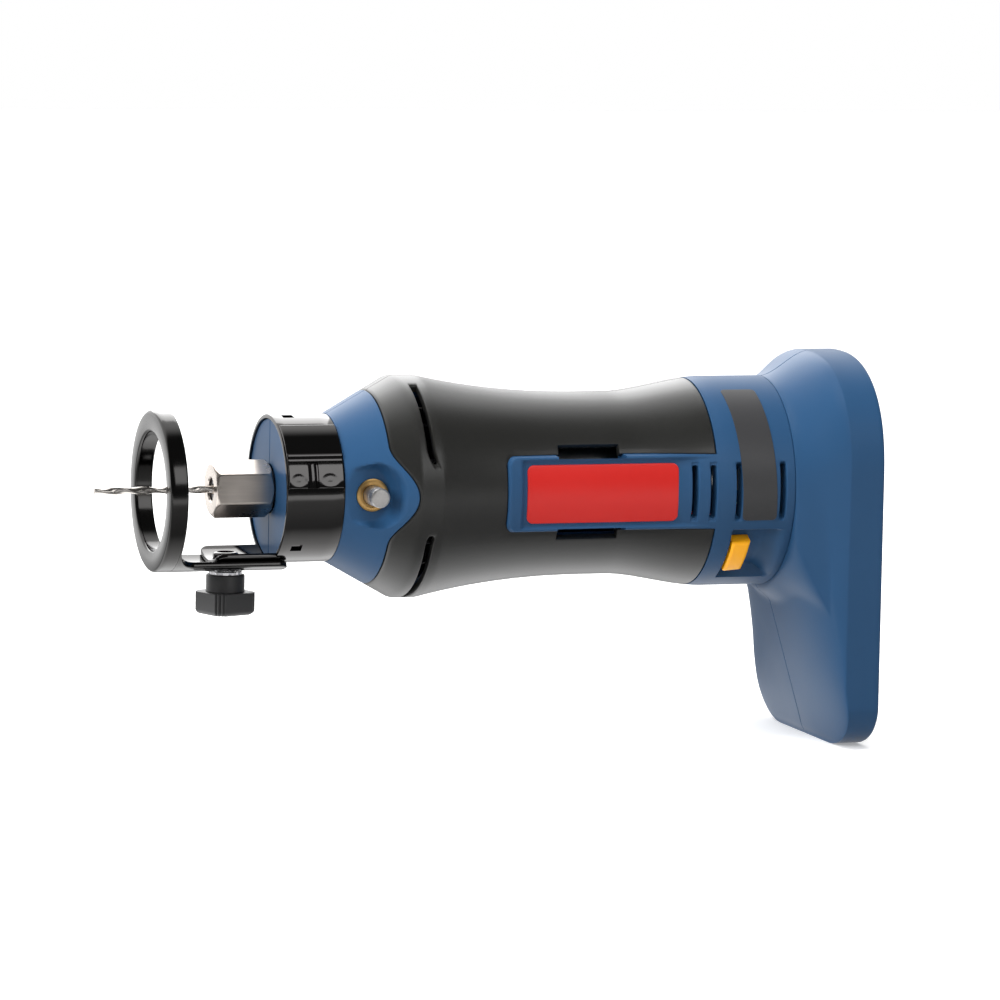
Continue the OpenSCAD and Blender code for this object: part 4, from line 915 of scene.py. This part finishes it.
STRAP = (29.0, 84.5)
STRAP_X = (-0.35, 16.6)
STRAP_T = 0.75
RIDGE_TURN = 59.2
TAB_TURNS = (64.2, 84.0)
TAB_X = (5.3, 8.9)
DIMPLE_TURN = 77.6
DIMPLE_WIDE = 5.4
DIMPLE_DEEP = 0.14
DIMPLES = ((2.7, 2.5), (12.3, 2.9))


def collar_strap():
    """Outer layer of the overlap: a ridge across it, and a slot for the hook between two dimples."""
    even = np.arange(0.5, 16.2, 0.6)
    even = even[np.abs(even[:, None] - TAB_X).min(1) > 0.2]
    x = np.unique(np.concatenate([STRAP_X[0] + np.array([0, 0.08, 0.2, 0.35]), even, TAB_X,
                                  STRAP_X[1] - np.array([0.35, 0.2, 0.08, 0])]))[:, None]
    by_end = np.array([0, 0.3, 0.6])
    turn = np.unique(np.concatenate([np.arange(STRAP[0] + 1, STRAP[1], 1.0), STRAP[0] + by_end,
                                     STRAP[1] - by_end, TAB_TURNS]))
    rim = np.minimum(np.minimum(x - STRAP_X[0], STRAP_X[1] - x), np.radians(1) * COLLAR_OUT *
                     np.minimum(turn - STRAP[0], STRAP[1] - turn))
    ridge = 0.3 * np.exp(-((turn - RIDGE_TURN) / 1.3) ** 2)
    r = COLLAR_OUT + STRAP_T - lip(rim, 0.3) + ridge - 0.25 * ease((turn - RIDGE_TURN - 1) / 2.5)
    for centre, half in DIMPLES:
        q = np.sqrt(((x - centre) / half) ** 2 + ((turn - DIMPLE_TURN) / DIMPLE_WIDE) ** 2)
        r = r - DIMPLE_DEEP * ease((1.2 - q) / 0.8)
    middle_x = (x[1:] + x[:-1]) / 2
    middle_t = (turn[1:] + turn[:-1]) / 2
    along_slot = (middle_x > TAB_X[0]) & (middle_x < TAB_X[1])
    slot = along_slot & (middle_t > TAB_TURNS[0]) & (middle_t < TAB_TURNS[1])
    angle = np.radians(turn)
    return slab(about_axis(x, r, angle), about_axis(x, COLLAR_OUT + LAYER_GAP + 0 * r, angle), ~slot)


def collar_hook():
    """Hook that stands in the strap's slot."""
    x = np.linspace(TAB_X[0] + 0.6, TAB_X[1] - 0.5, 7)[:, None]
    turn = np.linspace(TAB_TURNS[0] + 1.6, TAB_TURNS[1] - 0.3, 16)
    r = COLLAR_OUT + 0.6 - 0.3 * (np.abs(x - np.mean(TAB_X)) / 1.1) ** 4 + 0 * turn
    angle = np.radians(turn)
    return slab(about_axis(x, r, angle), about_axis(x, COLLAR_OUT + LAYER_GAP + 0 * r, angle))


TONGUE_FRONT = span("clamp_collar")[0][0]
TONGUE_HALF = 31.0
TONGUE_CORNER = 3.0


def collar_tongue():
    """Curved tongue along the bottom with rounded front corners and softened edges."""
    x = np.concatenate([TONGUE_FRONT + TONGUE_CORNER * (1 - np.cos(np.linspace(0, np.pi / 2, 9))),
                        np.linspace(TONGUE_FRONT + TONGUE_CORNER, COLLAR_FRONT + 0.02, 16)[1:]])[:, None]
    arc = np.radians(TONGUE_HALF) * COLLAR_OUT
    half = rounded_half(x, TONGUE_FRONT, COLLAR_FRONT + 20, arc, TONGUE_CORNER)
    s = half * np.concatenate([[-1, -0.99, -0.97], np.linspace(-0.94, 0.94, 29), [0.97, 0.99, 1]])
    rim = np.minimum(half - np.abs(s), x - TONGUE_FRONT)
    drop = lip(rim, 0.35)
    angle = np.pi + s / COLLAR_OUT
    return slab(about_axis(x, COLLAR_OUT - drop, angle), about_axis(x, COLLAR_IN + drop, angle))


def collar_tab(at):
    """Tab of the band pressed down into one of the square holes."""
    x = np.linspace(LUG_X[0] + 0.02, LUG_X[1] - 0.02, 5)[:, None]
    angle = np.radians(np.linspace(at - LUG_HALF + 0.05, at + LUG_HALF - 0.05, 7))
    r = COLLAR_OUT - 0.9 + 0 * x * angle
    return slab(about_axis(x, r, angle), about_axis(x, COLLAR_IN + 0 * r, angle))


BOLT_X = -13.1
BOSS_HOLE = 2.6


def collar_boss():
    """Weld nut on the tongue: a domed ring round the hole for the bolt."""
    z = np.array([-20.9, -19.4, -19.0, -18.75, -18.65])[:, None]
    r = np.array([3.9, 3.85, 3.65, 3.3, 2.9])[:, None]
    turn = round_turn(48)
    outer = seat(BOLT_X + r * np.cos(turn), r * np.sin(turn), z)
    inner = seat(BOLT_X + BOSS_HOLE * np.cos(turn), BOSS_HOLE * np.sin(turn), z)
    return slab(outer, inner, ring=True)


black_chrome = worked("black_chrome", (0.085, 0.083, 0.082), 0.08, fine=300.0, coarse=120.0,
                      bump=0.02, vary=0.05)
collar_parts = [collar_band(), collar_strap(), collar_hook(), collar_tongue(), collar_boss()]
collar_parts += [collar_tab(at) for at in LUG_TURNS]
collar = shape("clamp_collar_black", collar_parts, black_chrome, sharp=32)
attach(collar, "housing")
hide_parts("clamp_collar")

# Depth guide: a die-cast ring on a curved arm, plated black, that slides under the tongue.
# The ring rests on the board, and the arm's slot runs along the clamp bolt.
RING_FRONT = -36.4
RING_BACK = -31.0
RING_OUT = 23.95
RING_IN = 17.6
RING_DROP = 0.25
ARM_IN = 22.35
ARM_OUT = 24.25
ARM_HALF = 25.0
ARM_END = span("depth_guide")[1][0]


def guide_ring():
    """Ring of rounded rectangular section about an axis a little below the spindle's."""
    x = np.concatenate([RING_FRONT + np.array([0, 0.1, 0.3, 0.6, 1.0]), [-34.5, -33, -32.2],
                        RING_BACK - np.array([0.6, 0.35, 0.15, 0.05, 0])])[:, None]
    turn = round_turn(144)
    out = RING_OUT - lip(x - RING_FRONT, 1.0) - lip(RING_BACK - x, 0.6)
    hole = RING_IN + lip(x - RING_FRONT, 0.8) + lip(RING_BACK - x, 0.5)
    down = np.array([0, 0, -RING_DROP * 0.001])
    return slab(about_axis(x, out, turn) + down, about_axis(x, hole, turn) + down, ring=True)


ARM_NECK = -25.0
ARM_FLARE = 6.6
ARM_SPREAD = 13.0
ARM_CORNER = 3.0
ARM_SLOT = (ARM_NECK, 0.0)
ARM_SLOT_HALF = 2.8


def guide_arm():
    """Arm that spreads into the ring at its front and has rounded rear corners and a slot for the bolt."""
    straight_end = ARM_END - ARM_CORNER
    corner = straight_end + ARM_CORNER * np.sin(np.linspace(0, np.pi / 2, 9))
    x = np.unique(np.concatenate([np.linspace(RING_BACK - 0.6, ARM_NECK, 14),
                                  np.linspace(ARM_NECK, straight_end, 24), corner, ARM_SLOT]))[:, None]
    spread = ARM_SPREAD * (1 - np.sqrt(np.clip(1 - ((ARM_NECK - x) / ARM_FLARE).clip(0, 1) ** 2, 0, 1)))
    back = np.clip(x - straight_end, 0, ARM_CORNER)
    arc = np.radians(ARM_HALF) * ARM_OUT + spread - ARM_CORNER + np.sqrt(ARM_CORNER ** 2 - back ** 2)
    rail = np.concatenate([np.linspace(0.32, 0.8, 6), [0.92, 0.96, 0.985, 1]])
    lines = np.concatenate([-rail[::-1], [-0.25, 0.25], rail])
    s = arc * lines
    s[:, np.abs(lines) < 0.3] = np.sign(lines[np.abs(lines) < 0.3]) * ARM_SLOT_HALF
    rim = np.minimum(arc - np.abs(s), ARM_END - x)
    drop = lip(rim, 0.5)
    angle = np.pi + s / ARM_OUT
    middle_x = (x[1:] + x[:-1]) / 2
    middle_l = (lines[1:] + lines[:-1]) / 2
    slot = (middle_x > ARM_SLOT[0]) & (middle_x < ARM_SLOT[1]) & (np.abs(middle_l) < 0.2)
    return slab(about_axis(x, ARM_OUT - drop, angle), about_axis(x, ARM_IN + drop, angle), ~slot)


cast_black = worked("cast_black", (0.060, 0.059, 0.058), 0.14, fine=300.0, coarse=120.0, bump=0.03, vary=0.05)
guide = shape("depth_guide_black", [guide_ring(), guide_arm()], cast_black, sharp=32)
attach(guide, "guide")
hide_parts("depth_guide")

# Clamp knob: glass-filled nylon moulded on a steel bolt, with a toothed washer above its round hub.
# The square head has cut corners with four ribs each, for the fingers.
dress(race_steel, "star_washer", "knob_bolt")
HUB_R = 5.75
HUB_TOP = span("guide_knob")[1][2]
HEAD_TOP = -30.4
HEAD_LOW = span("guide_knob")[0][2] + 0.9
HEAD_HALF = 7.3
HEAD_CUT = 8.35
HEAD_TURN = math.radians(20.0)
RIB_DEEP = 0.55
RIB_WIDE = 1.15


def knob():
    """Head outline r(turn) is the least of four sides and four ribbed corner cuts; the hub is round."""
    turn = round_turn(360)
    quarter = (turn - HEAD_TURN + np.pi / 4) % (np.pi / 2) - np.pi / 4
    corner = (turn - HEAD_TURN) % (np.pi / 2) - np.pi / 4
    side = HEAD_HALF / np.cos(quarter)
    across = HEAD_CUT * np.tan(corner)
    ribs = RIB_DEEP * np.abs(np.sin(np.pi * across / RIB_WIDE)) * (np.abs(across) < 2 * RIB_WIDE)
    head = soft_min(side, (HEAD_CUT + ribs - 0.1) / np.cos(corner), 0.25)
    fill = np.array([0.0, 0.8, 0.985, 1.0, 1.0, 0.985, 0.93, 0.86, 0.5])[:, None]
    deep = np.array([0.0, 0.0, 0.12, 0.35, 5.3, 5.75, 6.3, 6.6, 6.6])[:, None] * (HEAD_TOP - HEAD_LOW) / 6.6
    head_r = np.maximum(HUB_R + (head - HUB_R) * fill, HUB_R)
    head_r = np.where(deep > 0.6 * (HEAD_TOP - HEAD_LOW), head * fill, head_r)
    hub_z = np.array([HUB_TOP, HUB_TOP - 0.02, HUB_TOP - 0.15, HUB_TOP - 0.4, HEAD_TOP + 0.5,
                      HEAD_TOP + 0.15])[:, None]
    hub_r = np.array([3.0, HUB_R - 0.4, HUB_R - 0.12, HUB_R, HUB_R, HUB_R + 0.1])[:, None]
    r = np.concatenate([hub_r + 0 * turn, head_r])
    z = np.concatenate([hub_z + 0 * turn, HEAD_TOP - deep + 0 * turn])
    return capped(seat(BOLT_X + r * np.sin(turn), -r * np.cos(turn), z))


black_grip = moulded("knob_nylon", (0.026, 0.026, 0.027), 0.42, grain=2200.0, bump=0.2)
clamp_knob = shape("clamp_knob", [knob()], black_grip, sharp=30)
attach(clamp_knob, "knob")
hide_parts("guide_knob")

# Collet nut: hexagon bar, turned, chamfered at both ends and nickel plated.
# It screws on the spindle and presses the collet on the shank of the bit.
NUT_FRONT = span("collet_nut")[0][0]
NUT_BACK = span("collet_nut")[1][0]
NUT_FLAT = 7.5
NUT_CORNER = NUT_FLAT / math.cos(math.pi / 6)
NUT_HOLE = 3.45
NUT_THREAD = 5.4
NUT_FRONT_R = 7.35
NUT_BACK_R = 7.3
NUT_TURN = math.radians(-5.3)


def nut():
    """Radius of a hexagon cut by a chamfer cone at each end, round a plain hole."""
    from_front = np.array([0, 0.08, 0.2, 0.35, 0.5, 0.65, 0.8, 0.95, 1.1, 1.25, 1.45])
    from_back = np.array([1.3, 1.1, 0.9, 0.7, 0.5, 0.3, 0.12, 0])
    x = np.concatenate([NUT_FRONT + from_front, np.linspace(-15, -3, 7), NUT_BACK - from_back])[:, None]
    turn = round_turn(360)
    facet = (turn - NUT_TURN) % (np.pi / 3) - np.pi / 6
    hexagon = np.minimum(NUT_FLAT / np.cos(facet), NUT_CORNER - 0.1)
    front = NUT_FRONT_R + (x - NUT_FRONT) * 1.1 - 0.12 * np.clip(1 - (x - NUT_FRONT) / 0.15, 0, 1)
    back = NUT_BACK_R + (NUT_BACK - x) * 1.2
    r = np.minimum(hexagon, np.minimum(front, back))
    hole = NUT_HOLE + 0.35 * np.clip(1 - (x - NUT_FRONT) / 0.35, 0, 1) + 0 * turn
    hole = np.where(x > NUT_FRONT + 2.5, np.minimum(hole + 1.9, NUT_THREAD), hole)
    return slab(about_axis(x, r, turn), about_axis(x, hole, turn), ring=True)


nickel = worked("nickel", (0.78, 0.71, 0.65), 0.27, fine=1500.0, coarse=120.0, bump=0.06)
collet_nut = shape("collet_nut_nickel", [nut()], nickel, sharp=24)
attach(collet_nut, "nut")
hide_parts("collet_nut")

# Cutting bit: ground high-speed steel with two spiral flutes on a plain shank.
# The shank is held in the collet.
BIT_TIP = span("cutting_bit")[0][0]
BIT_END = span("cutting_bit")[1][0]
BIT_R = 1.2
SHANK_R = 1.58
FLUTE_LEAD = 17.0
FLUTE_END = -19.5
FLUTE_DEEP = 0.34
FLUTE_POWER = 1.6


def bit():
    """Circle pinched twice per turn, turned along the length; the flutes run out into the shank."""
    tip = BIT_TIP + np.array([0, 0.06, 0.18, 0.4])
    shank = [-14, BIT_END - 0.3, BIT_END]
    x = np.unique(np.concatenate([tip, np.arange(BIT_TIP + 0.8, -16, 0.4), shank]))[:, None]
    turn = round_turn(40)
    swing = turn - 2 * np.pi * x / FLUTE_LEAD
    pinch = np.abs(np.cos(swing)) ** FLUTE_POWER
    fade = 1 - ease((x - FLUTE_END) / 3.0)
    body = BIT_R + (SHANK_R - BIT_R) * ease((x - FLUTE_END - 0.5) / 3.0)
    r = body * (1 - FLUTE_DEEP * pinch * fade) * (1 - 0.5 * lip(x - BIT_TIP, 0.4))
    return capped(about_axis(x, r, turn))


bit_steel = worked("bit_steel", (0.74, 0.70, 0.66), 0.24, fine=1800.0, coarse=200.0)
cutter = shape("cutting_bit_steel", [bit()], bit_steel, sharp=60)
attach(cutter, "bit")
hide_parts("cutting_bit")

# Floor, light and camera: a pale floor, a white surround and broad soft lamps. In polished faces the floor
# shows painted reflections: it is darker there than to the camera, and it glows in strips along its depth.
# The camera stands in front of the nose at the left, a little above the tool.
floor_half = 4.0
SHEEN_FRONT = -0.95
SHEEN_BACK = 0.75
floor_mesh = bpy.data.meshes.new("floor")
floor_mesh.from_pydata([(-floor_half, -floor_half, 0), (floor_half, -floor_half, 0),
                        (floor_half, floor_half, 0), (-floor_half, floor_half, 0)], [], [(0, 1, 2, 3)])
floor = bpy.data.objects.new("floor", floor_mesh)
bpy.context.scene.collection.objects.link(floor)
floor_paint, floor_tree, floor_shader = shader("floor_paint")
floor_shader.inputs["Roughness"].default_value = 0.9
seen = floor_tree.nodes.new("ShaderNodeLightPath")
place = floor_tree.nodes.new("ShaderNodeTexCoord").outputs["Object"]
depth = add_node(floor_tree, "SeparateXYZ", {0: place})
reach = {"Value": depth.outputs["Y"], "From Min": SHEEN_FRONT, "From Max": SHEEN_BACK}
spread = add_node(floor_tree, "MapRange", reach)
# Painted reflection strips: bands along the floor's depth that glow only for glossy rays, laying highlights
# and dark bands on the polished parts.
PAINTED_REFLECTION_STRIPS = ((0.03, 0.0), (0.09, 1.1), (0.31, 1.1), (0.37, 0.15), (0.465, 0.1), (0.524, 0.0), (0.567, 1.7),
         (0.586, 1.7), (0.624, 0.3), (0.718, 0.3), (0.882, 1.1))
painted_reflection_ramp = add_node(floor_tree, "ValToRGB", {"Fac": spread.outputs["Result"]})
while len(painted_reflection_ramp.color_ramp.elements) < len(PAINTED_REFLECTION_STRIPS):
    painted_reflection_ramp.color_ramp.elements.new(0.5)
for stop, (at, tone) in zip(painted_reflection_ramp.color_ramp.elements, PAINTED_REFLECTION_STRIPS):
    stop.position = at
    stop.color = (tone, tone, tone, 1)


def scaled_sum(tree, value, scale, add):
    """Value socket times a number or socket, plus a number or socket."""
    return add_node(tree, "Math", {0: value, 1: scale, 2: add}, operation="MULTIPLY_ADD").outputs[0]


# Floor colour is 0.93 to the camera, 0.60 to diffuse light and 0.10 in reflections; the last is painted shade
# in polished faces.
pale = scaled_sum(floor_tree, seen.outputs["Is Camera Ray"], 0.33, 0.60)
toned = scaled_sum(floor_tree, seen.outputs["Is Glossy Ray"], -0.50, pale)
floor_tree.links.new(toned, floor_shader.inputs["Base Color"])
painted_reflection_glow = scaled_sum(floor_tree, seen.outputs["Is Glossy Ray"], painted_reflection_ramp.outputs["Color"], 0.0)
white = scaled_sum(floor_tree, seen.outputs["Is Camera Ray"], 0.3, painted_reflection_glow)
floor_shader.inputs["Emission Color"].default_value = (1, 1, 1, 1)
floor_tree.links.new(white, floor_shader.inputs["Emission Strength"])
floor_mesh.materials.append(floor_paint)

GLOW_FROM = (-0.1, 0.85, 0.52)
world = bpy.data.worlds.new("studio")
bpy.context.scene.world = world
world.use_nodes = True
sky_tree = world.node_tree
surround = sky_tree.nodes["Background"]
surround.inputs["Color"].default_value = (1, 1, 1, 1)
direction = sky_tree.nodes.new("ShaderNodeTexCoord").outputs["Generated"]
towards = add_node(sky_tree, "VectorMath", {0: direction, 1: GLOW_FROM}, operation="DOT_PRODUCT")
near_glow = {"Value": towards.outputs["Value"], "From Min": 0.45, "From Max": 0.75}
glow = add_node(sky_tree, "MapRange", near_glow, interpolation_type="SMOOTHSTEP")
path = sky_tree.nodes.new("ShaderNodeLightPath")
dim = scaled_sum(sky_tree, path.outputs["Is Glossy Ray"], -0.42, 0.48)
rise = scaled_sum(sky_tree, path.outputs["Is Glossy Ray"], 0.95, 0.50)
around = scaled_sum(sky_tree, glow.outputs["Result"], rise, dim)
level = around
for label in ("Is Camera Ray", "Is Transmission Ray"):
    higher = add_node(sky_tree, "Math", {0: path.outputs[label], 1: level}, operation="MAXIMUM")
    level = higher.outputs[0]
sky_tree.links.new(level, surround.inputs["Strength"])


def lamp(name, at, aim, size, power, glossy=True):
    """Square area lamp at a point, aimed at another, in metres and watts, seen in polished faces or not."""
    data = bpy.data.lights.new(name, "AREA")
    data.size = size
    data.energy = power
    light = bpy.data.objects.new(name, data)
    light.visible_camera = False
    light.visible_glossy = glossy
    bpy.context.scene.collection.objects.link(light)
    light.location = at
    light.rotation_euler = (Vector(aim) - Vector(at)).to_track_quat("-Z", "Y").to_euler()


def sun(name, towards, spread, strength):
    """Distant lamp that shines along a direction with a soft edge, spread in degrees."""
    data = bpy.data.lights.new(name, "SUN")
    data.angle = math.radians(spread)
    data.energy = strength
    light = bpy.data.objects.new(name, data)
    light.visible_glossy = False
    bpy.context.scene.collection.objects.link(light)
    light.rotation_euler = Vector(towards).to_track_quat("-Z", "Y").to_euler()


tool_middle = (0.0, 0.0, 0.07)
sun("ceiling_light", (0.1, 0.15, -1.0), 50.0, 0.4)
lamp("key_lamp", (-1.15, -0.35, 0.55), tool_middle, 0.7, 14.0, glossy=False)
lamp("top_lamp", (-0.10, -0.25, 1.10), tool_middle, 0.5, 9.5, glossy=False)
lamp("back_lamp", (0.0, 0.95, 0.75), tool_middle, 0.9, 8.0)
lamp("front_card", (0.25, -0.92, 0.58), tool_middle, 0.45, 1.2)

CAMERA_YAW = math.radians(18.5)
CAMERA_RISE = math.radians(6.5)
CAMERA_ROLL = math.radians(1.07)
CAMERA_AWAY = 1.71
CAMERA_LENS = 205.0
AIM_BACK = 0.0721
AIM_DOWN = 0.0048
across = Vector((math.cos(CAMERA_YAW), -math.sin(CAMERA_YAW), 0))
forward = Vector((math.cos(CAMERA_RISE) * math.sin(CAMERA_YAW), math.cos(CAMERA_RISE) * math.cos(CAMERA_YAW),
                  -math.sin(CAMERA_RISE)))
upward = across.cross(forward)
turn = Matrix.Rotation(-CAMERA_ROLL, 3, forward)
across, upward = turn @ across, turn @ upward
aimed = Vector(ORIGIN) + Vector((AIM_BACK, 0, 0)) - upward * AIM_DOWN
camera_data = bpy.data.cameras.new("camera")
camera_data.lens = CAMERA_LENS
camera_data.sensor_width = 36.0
camera_data.clip_end = 50.0
camera = bpy.data.objects.new("camera", camera_data)
bpy.context.scene.collection.objects.link(camera)
camera.matrix_world = Matrix.Translation(aimed - forward * CAMERA_AWAY) @ \
    Matrix((across, upward, -forward)).transposed().to_4x4()
bpy.context.scene.camera = camera
bpy.context.scene.view_settings.view_transform = "Standard"
